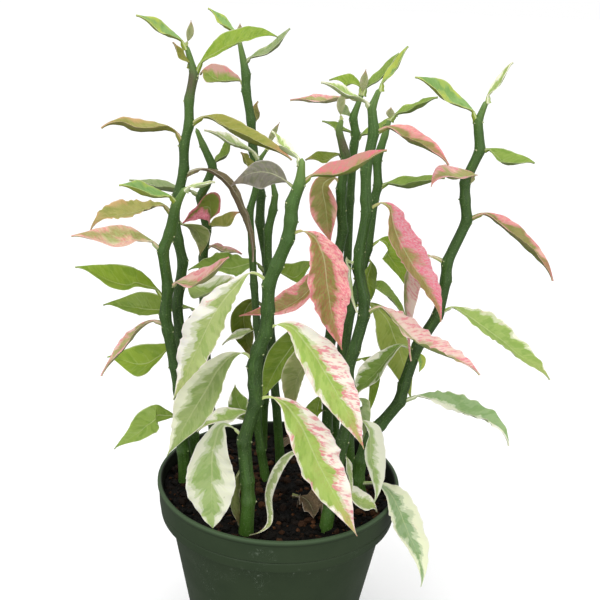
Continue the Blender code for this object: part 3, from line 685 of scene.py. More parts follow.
def leaf_material(name="variegated_leaf", dried=False):
    """Leaf: green middle with a feathered border, cream margins, rose dabs, veins and underside."""
    paint, tree, shader = new_material(name, 0.5, Specular_IOR_Level=0.25)
    across, face, _ = attribute(tree, "ring").parts()
    x, reach, seed = attribute(tree, "spot").parts()
    band, shift, soft = attribute(tree, "zone").parts()
    flush, tip, stain = attribute(tree, "pink").parts()
    along = attribute(tree, "along", "Fac")
    centre = attribute(tree, "centre", "Color")
    margin = attribute(tree, "margin", "Color")
    under = attribute(tree, "under", "Color")
    rose = colours().rose
    place = xyz(tree, reach - abs(x) * 0.8, x, seed)

    middle, halftone, patches = use_group(
        tree, zones_group(), Place=place, Across=across, Band=band, Shift=shift, Soft=soft)
    blush, dabs, freckles = use_group(tree, blush_group(), Place=place, Flush=flush)
    veins, midrib = use_group(tree, veins_group(), Place=place, Across=across, Along=along)

    green = mix(tree, patches * 0.6, centre, mix(tree, 1.0, centre, (0.68, 0.8, 0.55), "MULTIPLY"))
    green = mix(tree, dabs * 0.05, green, linear(214, 222, 140))
    green = mix(tree, blush * stain * freckles * 0.6, green, linear(152, 84, 66))
    border = mix(tree, halftone * 0.5, margin, centre)
    speckles = mix(tree, flush.ramp(0.4, 0.8), dabs, freckles)
    border = mix(tree, blush * (speckles * 0.66 + 0.1), border, rose)
    surface = mix(tree, middle, border, green)
    spots = speckle(tree, xyz(tree, reach, x, seed + 31.0), 4.5, 1.0).ramp(0.74, 0.77)
    surface = mix(tree, spots * stain * 0.8, surface, linear(124, 84, 52))
    surface = mix(tree, along.ramp(0.72, 1.0) * tip * (dabs * 0.4 + 0.5), surface, rose)

    pale = mix(tree, 0.6, centre, linear(224, 228, 176))
    surface = mix(tree, veins * 0.06, surface, pale)
    surface = mix(tree, midrib * 0.42, surface, pale)
    stalk = along.ramp(0.05, 0.17, 0.8, 0.0)
    surface = mix(tree, stalk, surface, mix(tree, 0.6, centre, linear(190, 204, 124)))
    rim = mix(tree, 0.45, margin, linear(250, 246, 236))
    rim = mix(tree, flush * 0.6, rim, rose)
    surface = mix(tree, abs(across).ramp(0.92, 0.985) * 0.7, surface, rim)

    back = mix(tree, patches * 0.25 + veins * 0.15, under, surface)
    surface = mix(tree, face.ramp(-0.15, 0.0, 0.85, 0.0), surface, back)
    if dried:
        surface = mix(tree, freckles * 0.55, surface, linear(58, 46, 34))
    height = (veins * 0.3 + midrib).less(0.0) + patches * 0.2
    finish_shader(tree, shader, place, surface, patches * 0.1 + (0.75 if dried else 0.42),
                  Scale=14.0, Height=height, Grain=0.5, Depth=0.0003 if dried else 0.00014)
    if not dried:
        shader.inputs["Subsurface Weight"].default_value = 0.15
        shader.inputs["Subsurface Radius"].default_value = (0.8, 1.0, 0.3)
        shader.inputs["Subsurface Scale"].default_value = 0.0012
    return paint


def stem_material():
    """Stem: dark green below and lighter above, with pale streaks, lighter lengthwise bands that are partly
    a painted highlight, fine dots and thin ridge lines.
    """
    paint, tree, shader = new_material("green_stem", 0.42, Specular_IOR_Level=0.4)
    ring_x, ring_y, _ = attribute(tree, "ring").parts()
    x, reach, seed = attribute(tree, "spot").parts()
    base = attribute(tree, "centre", "Color")
    place = xyz(tree, x, reach, seed)
    streaks = mottle(tree, place, 800.0, 0.46, 0.66, 9.0)
    # Lighter lengthwise bands: partly real streaks of the stem, partly a painted highlight band along it.
    bands_and_painted_highlight = mottle(tree, place, 260.0, 0.5, 0.62, 7.0)
    clouds = mottle(tree, place, 130.0, 0.35, 0.65, 2.5)
    dots = mottle(tree, place, 1600.0, 0.57, 0.68, 1.4)
    angle = ring_y.math("ARCTAN2", ring_x)
    ridge = abs((angle * 1.5 + seed + reach * 14.0).sine()).ramp(0.0, 0.09, 1.0, 0.0)
    deep = mix(tree, 1.0, base, (0.55, 0.66, 0.5), "MULTIPLY")
    surface = mix(tree, clouds * 0.6, base, deep)
    surface = mix(tree, bands_and_painted_highlight * 0.3, surface, linear(72, 108, 46))
    surface = mix(tree, streaks * 0.3, surface, colours().young)
    surface = mix(tree, ridge * clouds.less(1.1) * 0.3, surface, linear(124, 156, 86))
    surface = mix(tree, dots * 0.4, surface, linear(150, 176, 112))
    finish_shader(tree, shader, place, surface, clouds * 0.1 + 0.3,
                  Scale=1300.0, Height=streaks * 0.7 + dots + ridge, Grain=0.7, Depth=0.00016)
    return paint


def scar_material():
    """Pale corky leaf scar."""
    paint, tree, shader = new_material("leaf_scar", 0.8)
    place = object_place(tree)
    surface = mix(tree, mottle(tree, place, 1400.0) * 0.7, colours().scar, colours().young)
    finish_shader(tree, shader, place, surface, 0.8, Scale=2500.0, Grain=1.0, Depth=0.0002)
    return paint


def sight_ray(pixel):
    """Direction of the camera's sight line through a photo pixel."""
    across = pixel[0] - CENTRE
    down = pixel[1] - CENTRE
    level_across = math.cos(ROLL) * across + math.sin(ROLL) * down
    level_down = math.cos(ROLL) * down - math.sin(ROLL) * across
    forward = Vector((0, math.cos(PITCH), -math.sin(PITCH)))
    upward = Vector((0, math.sin(PITCH), math.cos(PITCH)))
    return forward + (Vector((1, 0, 0)) * level_across - upward * level_down) / FOCAL


def sight(pixel, depth):
    """Point of the world that a pixel shows, at a depth along Y."""
    ray = sight_ray(pixel)
    return EYE + ray * ((depth - EYE.y) / ray.y)


def on_soil(pixel):
    """Point of the soil's level that a pixel shows."""
    ray = sight_ray(pixel)
    return EYE + ray * ((SOIL_TOP - EYE.z) / ray.z)


def smooth_path(points, steps, curl=1.0):
    """Even row of points and unit tangents along a curve through the given points, which runs
    straighter between them where curl is below 1."""
    spans = [(b - a).length for a, b in zip(points, points[1:])]
    slopes = [(b - a) / span for a, b, span in zip(points, points[1:], spans)]
    if len(points) == 2:
        tangents = [slopes[0], slopes[0]]
    else:
        inner = [
            (slopes[i] * spans[i + 1] + slopes[i + 1] * spans[i]) / (spans[i] + spans[i + 1])
            for i in range(len(slopes) - 1)
        ]
        tangents = [slopes[0] * 2 - inner[0], *inner, slopes[-1] * 2 - inner[-1]]
    total = sum(spans)
    row = []
    for step in range(steps + 1):
        place = total * step / steps
        index = 0
        while index < len(spans) - 1 and place > spans[index]:
            place -= spans[index]
            index += 1
        span, slope = spans[index], slopes[index]
        u = min(place / span, 1.0)
        a, b = points[index], points[index + 1]
        m = slope.lerp(tangents[index], curl) * span
        n = slope.lerp(tangents[index + 1], curl) * span
        point = a * (1 + 2 * u) * (1 - u) ** 2 + m * u * (1 - u) ** 2
        point += b * u * u * (3 - 2 * u) - n * u * u * (1 - u)
        slope = (b - a) * 6 * u * (1 - u) + m * (1 - u) * (1 - 3 * u) + n * u * (3 * u - 2)
        row.append((point, slope.normalized()))
    return row


def stalk_points(track, top_depth):
    """Centre line of a stalk from its leg in the soil to its top."""
    foot = on_soil(track[0])
    low, high = track[0][1], track[-1][1]
    points = [foot - Vector((0, 0, LEG)), foot + Vector((0, 0, STRAIGHT_FOOT))]
    for pixel in track[1:]:
        share = (low - pixel[1]) / (low - high)
        points.append(sight(pixel, foot.y + (top_depth - foot.y) * share))
    return points


def root_on(points, pixel_point):
    """Point of the stalk's centre line where the pixel's sight line passes nearest to it."""
    ray = (pixel_point - EYE).normalized()
    spots = [a.lerp(b, k / 8) for a, b in zip(points, points[1:]) for k in range(9)]
    return min(spots, key=lambda spot: ((spot - EYE) - ray * (spot - EYE).dot(ray)).length)


def rib_of(points, row):
    """Rib points of a leaf, rooted in the centre line of its stalk, and the way its face looks."""
    root = root_on(points, sight(row.track[0], 0.0))
    reach = [0.0]
    for a, b in zip(row.track, row.track[1:]):
        reach.append(reach[-1] + math.dist(a, b))
    rib = [root]
    for pixel, place in zip(row.track[1:], reach[1:]):
        rib.append(sight(pixel, root.y - row.toward * place / reach[-1]))
    chord = (rib[-1] - rib[0]).normalized()
    view = EYE - root
    facing = (view - chord * view.dot(chord)).normalized()
    return rib, Matrix.Rotation(math.radians(row.turn), 3, chord) @ facing


def petiole_share(track):
    """Share of a leaf's line that its petiole takes."""
    first = math.dist(track[0], track[1])
    whole = sum(math.dist(a, b) for a, b in zip(track, track[1:]))
    return min(PETIOLE_SHARE * first / whole, LONGEST_PETIOLE)


def outline(u, blunt):
    """Half width of a leaf as a share of its widest, for u from the blade's base to its tip. It
    narrows long toward the petiole, and a blunt leaf ends rounder."""
    if not 0 < u < 1:
        return 0.0
    spread = math.sin(math.pi * u ** (0.92 + 0.5 * blunt)) ** (1.0 + 0.35 * u - 0.75 * blunt * u)
    return spread * (1 - 0.5 * math.exp(-u / 0.07))


class Guide:
    """Mesh of lines that a node tree skins: rows of points with what each point knows."""

    VECTORS = ("place", "side", "normal", "zone", "pink")
    NUMBERS = ("kind", "half", "size", "fold", "wave", "crimp", "thick", "reach", "along", "seed")
    LENGTHS = ("place", "half", "size", "wave", "thick", "reach")
    COLOURS = ("centre", "margin", "under")

    def __init__(self):
        self.points = {name: [] for name in self.VECTORS + self.NUMBERS + self.COLOURS}
        self.edges = []

    def line(self, rows):
        """Adds a line through the rows, which are dicts of values by name: what one lacks is 0."""
        start = len(self.points["kind"])
        for row in rows:
            for name in self.points:
                blank = (0, 0, 0) if name in self.VECTORS else 0.0
                self.points[name].append(row.get(name, blank))
        self.edges += [(start + i, start + i + 1) for i in range(len(rows) - 1)]

    def values(self, name):
        """Values of one name over all points, in metres where they are lengths."""
        unit = MM if name in self.LENGTHS else 1.0
        return np.array([tuple(v) if hasattr(v, "__len__") else v for v in self.points[name]],
                        np.float32) * unit

    def to_object(self, name):
        """Object whose mesh holds the lines, with each name as an attribute."""
        mesh = bpy.data.meshes.new(name)
        mesh.from_pydata(self.values("place"), self.edges, [])
        for key in self.VECTORS:
            mesh.attributes.new(key, "FLOAT_VECTOR", "POINT").data.foreach_set(
                "vector", self.values(key).ravel())
        for key in self.NUMBERS:
            mesh.attributes.new(key, "FLOAT", "POINT").data.foreach_set("value", self.values(key))
        for key in self.COLOURS:
            tint = np.pad(self.values(key), ((0, 0), (0, 1)), constant_values=1.0)
            mesh.attributes.new(key, "FLOAT_COLOR", "POINT").data.foreach_set("color", tint.ravel())
        return new_object(name, mesh)


def leaf_line(rib, facing, row, seed):
    """Rows of a leaf's guide line, with the form of the solid's blade."""
    colour = LOOKS[row.colours]
    tilt, roll = math.radians(row.fold), math.radians(row.turn)
    edge = 0.0
    if abs(row.turn) > EDGE_TRACED:
        edge = math.copysign(math.cos(abs(roll) - tilt), roll)
    start = petiole_share(row.track)
    length = sum((b - a).length for a, b in zip(rib, rib[1:]))
    steps = max(FEWEST_ROWS, int(length / ROW_STEP))
    rows, reach, before = [], 0.0, None
    for i, (point, along) in enumerate(smooth_path(rib, steps)):
        t = i / steps
        reach += (point - before).length if before else 0.0
        before = point
        normal = (facing - along * facing.dot(along)).normalized()
        side = along.cross(normal)
        spread = outline((t - start) / (1 - start), row.blunt)
        stalk = PETIOLE / 2 * (0.8 - 0.2 * t / start) if t < start else TIP / 2
        stalk = max(stalk, PETIOLE * 0.55 * (1 - t / 0.03))
        half = max(spread * row.width / 2, stalk)
        middle = point - (normal * math.sin(roll) + side * math.cos(roll)) * half * edge
        rows.append({
            "place": middle, "side": side, "normal": normal, "zone": colour.zone,
            "pink": colour.pink, "kind": LEAF, "half": half, "size": row.width / 2, "fold": tilt,
            "wave": row.wave * spread, "crimp": (max(row.wave - SMOOTH_WAVE, 0.0) / SMOOTH_WAVE) ** 2 / 3,
            "thick": max(0.7 * stalk * (1 - spread * 2), 0.0), "reach": reach, "along": t,
            "seed": seed, "centre": colour.centre, "margin": colour.margin, "under": colour.under,
        })
    return rows


def stem_line(points, row, seed):
    """Rows of a stem's guide line: the solid's tube with swollen joints and a narrowed top."""
    length = sum((b - a).length for a, b in zip(points, points[1:]))
    steps = int(length / STEM_STEP)
    old, young = Vector(colours().bark), Vector(colours().young)
    brown, fresh = Vector(colours().brown), Vector(linear(122, 150, 74))
    joints = points[2:-1]
    rows = []
    side = Vector((1, 0, 0))
    for i, (point, along) in enumerate(smooth_path(points, steps, STEM_CURL)):
        t = i / steps
        side = (side - along * side.dot(along)).normalized()
        radius = row.base_radius + (row.top_radius - row.base_radius) * t
        near = min(((point - joint).length for joint in joints), default=99.0)
        radius *= 0.94 + JOINT_SWELL * math.exp(-((near / JOINT_REACH) ** 2))
        radius *= 1 + FOOT_FLARE * math.exp(-(max(t * length - LEG, 0.0) / FLARE_REACH))
        left = (1 - t) * length
        radius *= 1 - 0.5 * max(1 - left / TOP_TAPER, 0.0)
        dome = min(left / radius, 1.0)
        radius *= math.sqrt(max(1 - (1 - dome) ** 2, 0.02))
        colour = old.lerp(young, 0.1 + 0.65 * t**3)
        colour = colour.lerp(young, 0.75 * max(1 - t * length / FOOT_LIGHT, 0.0))
        colour = colour.lerp(fresh, 0.8 * max(1 - left / TOP_TAPER, 0.0))
        if row.patch:
            off = (point - sight(row.patch, point.y)).length
            colour = colour.lerp(brown, math.exp(-((off / PATCH_REACH) ** 2)))
        rows.append({
            "place": point, "side": side, "normal": along.cross(side), "kind": STEM, "half": radius,
            "size": radius, "reach": t * length, "along": t, "seed": seed, "centre": colour,
            "margin": colour, "under": colour,
        })
    return rows


def scar_points(points, stem_rows, leaves, seed):
    """Small pale stubs beside each leaf, and scars at the joints where leaves fell."""
    draw = np.random.default_rng(int(seed * 10) + 5)
    rows = []
    for row in leaves:
        root = root_on(points, sight(row.track[0], 0.0))
        near = min(stem_rows, key=lambda r: (r["place"] - root).length)
        lean = 1.0 if row.track[1][0] > row.track[0][0] else -1.0
        for turn in (-0.75, 0.75):
            rows.append(scar_row(near, Vector((lean, turn, 0.1)), STUB_SIZE))
    for k, joint in enumerate(points[2:-1]):
        near = min(stem_rows, key=lambda r: (r["place"] - joint).length)
        lean = Vector(((-1.0) ** k, draw.uniform(-0.9, 0.2), 0.0))
        rows.append(scar_row(near, lean, draw.uniform(0.3, 0.48)))
    return rows


def scar_row(near, lean, size):
    """Row of one scar that sits on the stem's surface, on the side that it leans to."""
    along = near["side"].cross(near["normal"])
    out = (lean - along * lean.dot(along)).normalized()
    return {**near, "place": near["place"] + out * near["half"] * 0.98, "side": along,
            "normal": (out + along * 0.35).normalized(), "kind": SCAR, "half": size}


@node_group("Leafy stalk", "Geometry", {"Plant": "Geometry"},
            Guide="Geometry", Points_round_a_leaf=32, Points_round_the_stem=20, Blade=0.00055,
            Rib=0.0005, Ripple=0.0011, Stem_lumps=0.08, Stem_material="Material",
            Leaf_material="Material", Scar_material="Material")
def leafy_stalk_tree(tree, guide, leaf_points, stem_points, blade, rib, ripple, stem_lumps, *materials):
    """Skins a guide mesh: a round stem, folded and rippled leaf blades, and scars."""

    def value(key, data_type="FLOAT"):
        return add(tree, "GeometryNodeInputNamedAttribute", key, data_type=data_type)

    def store(geometry, key, vector):
        return add(tree, "GeometryNodeStoreNamedAttribute",
                   named={"Geometry": geometry, "Name": key, "Value": vector},
                   data_type="FLOAT_VECTOR", domain="POINT")

    def part(kind_number):
        same = add(tree, "FunctionNodeCompare", value("kind"), kind_number, data_type="FLOAT",
                   operation="EQUAL")
        feed(tree, same.socket.node.inputs["Epsilon"], 0.4)
        return add(tree, "GeometryNodeSeparateGeometry", guide, same, domain="POINT")

    def skin(kind_number, round_count, x, y):
        """Tube with attributes that say where each point lies round it and along it."""
        curve = add(tree, "GeometryNodeMeshToCurve", part(kind_number))
        circle = add(tree, "GeometryNodeCurvePrimitiveCircle",
                     named={"Resolution": round_count, "Radius": 1.0})
        profile = store(circle, "ring", add(tree, "GeometryNodeInputPosition"))
        tube = add(tree, "GeometryNodeCurveToMesh",
                   named={"Curve": curve, "Profile Curve": profile, "Fill Caps": True})
        return store(tube, "spot", xyz(tree, x, y, seed))

    def placed(geometry, out, lift):
        """Geometry whose points lie so far to the side of the guide line and above it."""
        spot = place.plus(side.scaled(out)).plus(normal.scaled(lift))
        return add(tree, "GeometryNodeSetPosition", named={"Geometry": geometry, "Position": spot})

    half, reach, seed, size = value("half"), value("reach"), value("seed"), value("size")
    fold, along, crimp = value("fold"), value("along"), value("crimp")
    ring_x, ring_y, _ = value("ring", "FLOAT_VECTOR").parts()
    place, side, normal = [value(key, "FLOAT_VECTOR") for key in ("place", "side", "normal")]

    x, y = ring_x * half / size, reach / size
    hand = ring_x.math("SIGN")
    far = abs(ring_x)
    broad = (half / BROAD_LEAF).ramp(0.25, 1.0)
    scallop = speckle(tree, xyz(tree, y, hand * 2.0, seed), 1.7, 1.0) - 0.5
    width = half * (scallop * broad * (crimp * 0.17 + 0.08) + 1.0)
    lift = far.power(1.15) * width * fold.sine()
    lift = lift + value("wave") * far * far * (along * (math.tau * WAVES) + ring_x * WAVE_SKEW).sine()
    wander = speckle(tree, xyz(tree, y, hand * 3.0, seed + 9.0), 0.8, 1.0) - 0.5
    waves = (y * 8.6 + hand * 1.4 + wander * 18.0 + seed).sine() * 0.5
    waves = waves + (speckle(tree, xyz(tree, y, hand, seed + 13.0), 1.7, 1.0) - 0.5) * 2.2
    lift = lift + waves * (ripple * crimp * broad) * far.power(2.5)
    swell = speckle(tree, xyz(tree, y, x, seed + 4.0), 0.95, 2.0) - 0.5
    lift = lift + swell * broad * LEAF_SWELL
    lift = lift + ring_y * (blade * 0.5 + value("thick"))
    near_rib = (ring_x * half / RIB_WIDTH).power(2.0).less(0.0).math("EXPONENT")
    keel = rib * (along * 0.7).less() * ring_y.ramp(-0.2, 0.0, 1.0, 0.0)
    lift = lift - near_rib * (broad * RIB_DIP + keel)
    leaves = placed(skin(LEAF, leaf_points, x, y), ring_x * width * fold.math("COSINE"), lift)

    angle = ring_y.math("ARCTAN2", ring_x)
    lumps = speckle(tree, xyz(tree, reach, ring_x * 0.006, ring_y * 0.006), 85.0, 2.0) - 0.5
    ribs = (abs((angle * 2.5 + reach * 18.0 + seed).sine()) - 0.6) * 0.045
    radius = half * (lumps * stem_lumps + ribs + 1.0)
    stem = placed(skin(STEM, stem_points, angle * half, reach), ring_x * radius, ring_y * radius)

    bump = add(tree, "GeometryNodeMeshIcoSphere", named={"Radius": 1.0, "Subdivisions": 2})
    turned_out = add(tree, "FunctionNodeAlignRotationToVector", named={"Vector": normal}, axis="Z")
    scars = add(tree, "GeometryNodeInstanceOnPoints",
                named={"Points": part(SCAR), "Instance": bump, "Rotation": turned_out,
                       "Scale": xyz(tree, half * 0.75, half, half * 1.15)})

    joined = tree.nodes.new("GeometryNodeJoinGeometry")
    for wire in (stem, leaves, scars):
        tree.links.new(wire.socket, joined.inputs[0])
    solid = add(tree, "GeometryNodeRealizeInstances", Wire(tree, joined.outputs[0]))
    solid = add(tree, "GeometryNodeSetShadeSmooth", named={"Geometry": solid, "Shade Smooth": True})
    for kind_number, material in zip((STEM, LEAF, SCAR), materials):
        chosen = add(tree, "FunctionNodeCompare", value("kind"), kind_number - 0.5,
                     data_type="FLOAT", operation="GREATER_THAN")
        solid = add(tree, "GeometryNodeSetMaterial",
                    named={"Geometry": solid, "Selection": chosen, "Material": material})
    return [solid]


def new_object(name, data):
    """Object with its data, in the scene."""
    obj = bpy.data.objects.new(name, data)
    bpy.context.scene.collection.objects.link(obj)
    return obj


def grown(obj, tree, **values):
    """Runs a node tree on an object, with its values by socket name, and keeps the result."""
    modifier = obj.modifiers.new(tree.name, "NODES")
    modifier.node_group = tree
    sockets = {item.name: item.identifier for item in tree.interface.items_tree if item.in_out == "INPUT"}
    for name, value in values.items():
        modifier[sockets[name.replace("_", " ")]] = value
    apply_modifiers(obj)


def turn_outward(mesh):
    """Makes all faces of a mesh look outward."""
    bm = bmesh.new()
    bm.from_mesh(mesh)
    bmesh.ops.recalc_face_normals(bm, faces=bm.faces)
    bm.to_mesh(mesh)
    bm.free()


def finish_piece(obj, node):
    """Rides the piece on the object's body and puts it in the place of its solid."""
    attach(obj, BODY)
    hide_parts(node)


def build_stalk(name, seed, materials):
    """One leafy stalk: its guide lines, skinned."""
    row = STALKS[name]
    points = stalk_points(row.track, row.top_depth)
    guide = Guide()
    stem_rows = stem_line(points, row, seed)
    guide.line(stem_rows)
    for index, blade in enumerate(row.leaves):
        guide.line(leaf_line(*rib_of(points, blade), blade, seed + index * 0.37))
    for scar in scar_points(points, stem_rows, row.leaves, seed):
        guide.line([scar])
    obj = guide.to_object(name + "_plant")
    size = sizes()
    grown(obj, leafy_stalk_tree(), Blade=size.blade, Rib=size.rib, Ripple=size.ripple, **materials)
    finish_piece(obj, name)


def rounded(corners, arc_steps=5):
    """Outline with an arc at each corner: corners are (radius, height, size of the arc)."""
    points = []
    last = len(corners) - 1
    for i, (x, z, size) in enumerate(corners):
        here = Vector((x, z))
        if size == 0 or i in (0, last):
            points.append(here)
            continue
        back = (Vector(corners[i - 1][:2]) - here).normalized()
        ahead = (Vector(corners[i + 1][:2]) - here).normalized()
        half = math.acos(max(-1.0, min(1.0, back.dot(ahead)))) / 2
        cut = size / math.tan(half)
        middle = here + (back + ahead).normalized() * size / math.sin(half)
        start, stop = here + back * cut - middle, here + ahead * cut - middle
        swing = start.angle_signed(stop)
        for k in range(arc_steps + 1):
            arm = Matrix.Rotation(-swing * k / arc_steps, 2) @ start
            points.append(middle + arm)
    return points


def pot_outline(size):
    """Outline of the pot's wall from the middle of the underside round to the middle of the floor."""
    rim, top = size.rim_radius, size.pot_height
    band = top - size.band_height
    neck, foot, wall, lip = size.neck_radius, size.foot_radius, size.wall, size.lip
    band_foot = rim - BAND_STEP
    groove = band + GROOVE_HEIGHT
    return rounded((
        (0.0, 0.0, 0),
        (foot, 0.0, 0.0012),
        (neck, band - 0.0004, 0.0005),
        (band_foot, band, 0.0003),
        (band_foot + 0.00055, groove - 0.0004, 0.0002),
        (band_foot + 0.0001, groove, 0.0001),
        (band_foot + 0.0007, groove + 0.0005, 0.0002),
        (rim - 0.0006, top - 0.0024, 0.0005),
        (rim, top - 0.0016, 0.0005),
        (rim, top, 0.0008),
        (rim - lip, top, 0.0008),
        (band_foot - wall, band + 0.002, 0.001),
        (neck - wall, band - 0.001, 0.001),
        (foot - wall + 0.0003, FLOOR, 0.001),
        (0.0, FLOOR, 0),
    ))


def turned(name, points):
    """Solid of revolution of an outline that starts and ends on the axis."""
    mesh = bpy.data.meshes.new(name)
    edges = [(i, i + 1) for i in range(len(points) - 1)]
    mesh.from_pydata([(p.x, 0.0, p.y) for p in points], edges, [])
    obj = new_object(name, mesh)
    screw = obj.modifiers.new("turn", "SCREW")
    screw.steps = TURN_STEPS
    screw.render_steps = TURN_STEPS
    screw.use_merge_vertices = True
    screw.merge_threshold = 0.00002
    screw.use_smooth_shade = True
    apply_modifiers(obj)
    return obj


def apply_modifiers(obj):
    bpy.context.view_layer.update()
    graph = bpy.context.evaluated_depsgraph_get()
    mesh = bpy.data.meshes.new_from_object(obj.evaluated_get(graph), depsgraph=graph)
    old = obj.data
    obj.modifiers.clear()
    obj.data = mesh
    mesh.name = obj.name
    bpy.data.meshes.remove(old)
    turn_outward(mesh)


def drill_drains(pot):
    """Cuts the drain holes through the pot's floor."""
    drills = bpy.data.collections.new("drills")
    bpy.context.scene.collection.children.link(drills)
    for index in range(DRAIN_HOLES):
        angle = math.tau * (index + 0.5) / DRAIN_HOLES
        spot = (DRAIN_CIRCLE * math.cos(angle), DRAIN_CIRCLE * math.sin(angle), FLOOR / 2)
        bpy.ops.mesh.primitive_cylinder_add(vertices=32, radius=DRAIN_RADIUS, depth=4 * FLOOR, location=spot)
        drill = bpy.context.object
        for home in list(drill.users_collection):
            home.objects.unlink(drill)
        drills.objects.link(drill)
    cut = pot.modifiers.new("drains", "BOOLEAN")
    cut.operation = "DIFFERENCE"
    cut.operand_type = "COLLECTION"
    cut.collection = drills
    cut.solver = "EXACT"
    apply_modifiers(pot)
    for drill in list(drills.objects):
        bpy.data.objects.remove(drill)
    bpy.data.collections.remove(drills)


def plastic_material():
    """Matt green plastic with dust in patches, fine scratches, a painted highlight along the rim and painted
    shade on the inner wall.
    """
    paint, tree, shader = new_material("green_plastic", 0.45, Specular_IOR_Level=0.22)
    place = object_place(tree)
    x, y, z = place.parts()
    around = y.math("ARCTAN2", x) * 0.05
    clouds = mottle(tree, place, 45.0, 0.35, 0.75)
    dust = mottle(tree, place, 520.0, 0.6, 0.74)
    patches = mottle(tree, place, 55.0, 0.53, 0.68)
    upright = mottle(tree, xyz(tree, around, z, 0.0), 2600.0, 0.68, 0.76, 14.0)
    level = mottle(tree, xyz(tree, z, around, 1.0), 2200.0, 0.68, 0.76, 26.0)
    bend = speckle(tree, xyz(tree, around, z, 4.0), 160.0, 1.0)
    squiggle = abs(speckle(tree, xyz(tree, around, z, bend), 90.0, 0.0) - 0.5).ramp(0.0, 0.008, 1.0, 0.0)
    deep = mix(tree, 1.0, colours().plastic, (0.78, 0.84, 0.8), "MULTIPLY")
    surface = mix(tree, clouds, colours().plastic, deep)
    # Painted highlight: the top of the rim is made paler, as where the light catches it.
    rim = z.ramp(POT_BOX[1].z - 0.0016, POT_BOX[1].z - 0.0002)
    surface = mix(tree, rim * 0.5, surface, linear(74, 96, 66))
    # Painted shade: the inner wall above the soil is darkened to near black, as the shade inside the pot.
    out_x, out_y, _ = add(tree, "ShaderNodeNewGeometry", out=1).parts()
    inner = (out_x * x + out_y * y).ramp(-0.02, -0.004, 1.0, 0.0)
    surface = mix(tree, inner * 0.85, surface, linear(14, 15, 11))
    lines = upright.math("MAXIMUM", level).math("MAXIMUM", squiggle)
    marks = patches * (dust * 0.4).math("MAXIMUM", lines * 0.6)
    surface = mix(tree, marks, surface, colours().scuff)
    finish_shader(tree, shader, place, surface, clouds * 0.08 + marks * 0.25 + 0.5,
                  Scale=1800.0, Height=marks * 0.4, Grain=0.35, Depth=0.00008)
    return paint


def soil_material(name="potting_soil", tinted=False):
    """Dark, crumbly soil: near black where damp, brown where it has dried."""
    paint, tree, shader = new_material(name, 0.85, Specular_IOR_Level=0.12)
    place = object_place(tree)
    grains = mottle(tree, place, 700.0, 0.45, 0.65)
    clouds = mottle(tree, place, 160.0, 0.4, 0.65)
    surface = mix(tree, grains * 0.3, colours().soil, linear(38, 27, 20))
    surface = mix(tree, clouds * 0.6, surface, linear(5, 5, 5))
    if tinted:
        share = attribute(tree, "tint", "Fac")
        surface = mix(tree, share, surface, colours().chip)
        surface = mix(tree, share * grains * 0.5, surface, linear(60, 36, 26))
    finish_shader(tree, shader, place, surface, clouds * 0.25 + 0.55,
                  Scale=1500.0, Height=grains, Grain=1.0, Depth=0.0003)
    return paint


def soil_height(x, y):
    """Height of the soil's lumpy top in metres, with the solid's lumps and finer ones."""
    spot = Vector((x, y, 0)) / MM
    lumps = noise.noise(spot / 9.0) + 0.5 * noise.noise((spot + Vector((0, 0, 40))) / 4.5)
    fine = 0.55 * noise.noise(spot / 2.1) + 0.3 * noise.noise(spot / 0.9)
    return (SOIL_TOP + 0.9 * lumps + fine) * MM


def build_soil():
    """Soil that fills the pot, with a lumpy top."""
    size = sizes()
    band = size.pot_height - size.band_height
    lip = size.rim_radius - size.lip - SOIL_INSET
    top = [Vector((lip * k / SOIL_RINGS, SOIL_TOP * MM)) for k in range(SOIL_RINGS + 1)]
    wall = [
        Vector((size.rim_radius - BAND_STEP - size.wall - GAP, band + 0.0022)),
        Vector((size.neck_radius - size.wall - GAP, band - 0.0009)),
        Vector((size.foot_radius - size.wall - GAP, FLOOR + GAP)),
        Vector((0.0, FLOOR + GAP)),
    ]
    soil = turned("potting_soil", top + wall)
    for vertex in soil.data.vertices:
        x, y, z = vertex.co
        if abs(z - SOIL_TOP * MM) < 0.00001:
            vertex.co.z = soil_height(x, y)
    turn_outward(soil.data)
    soil.data.materials.append(soil_material())
    finish_piece(soil, "soil")
    return soil


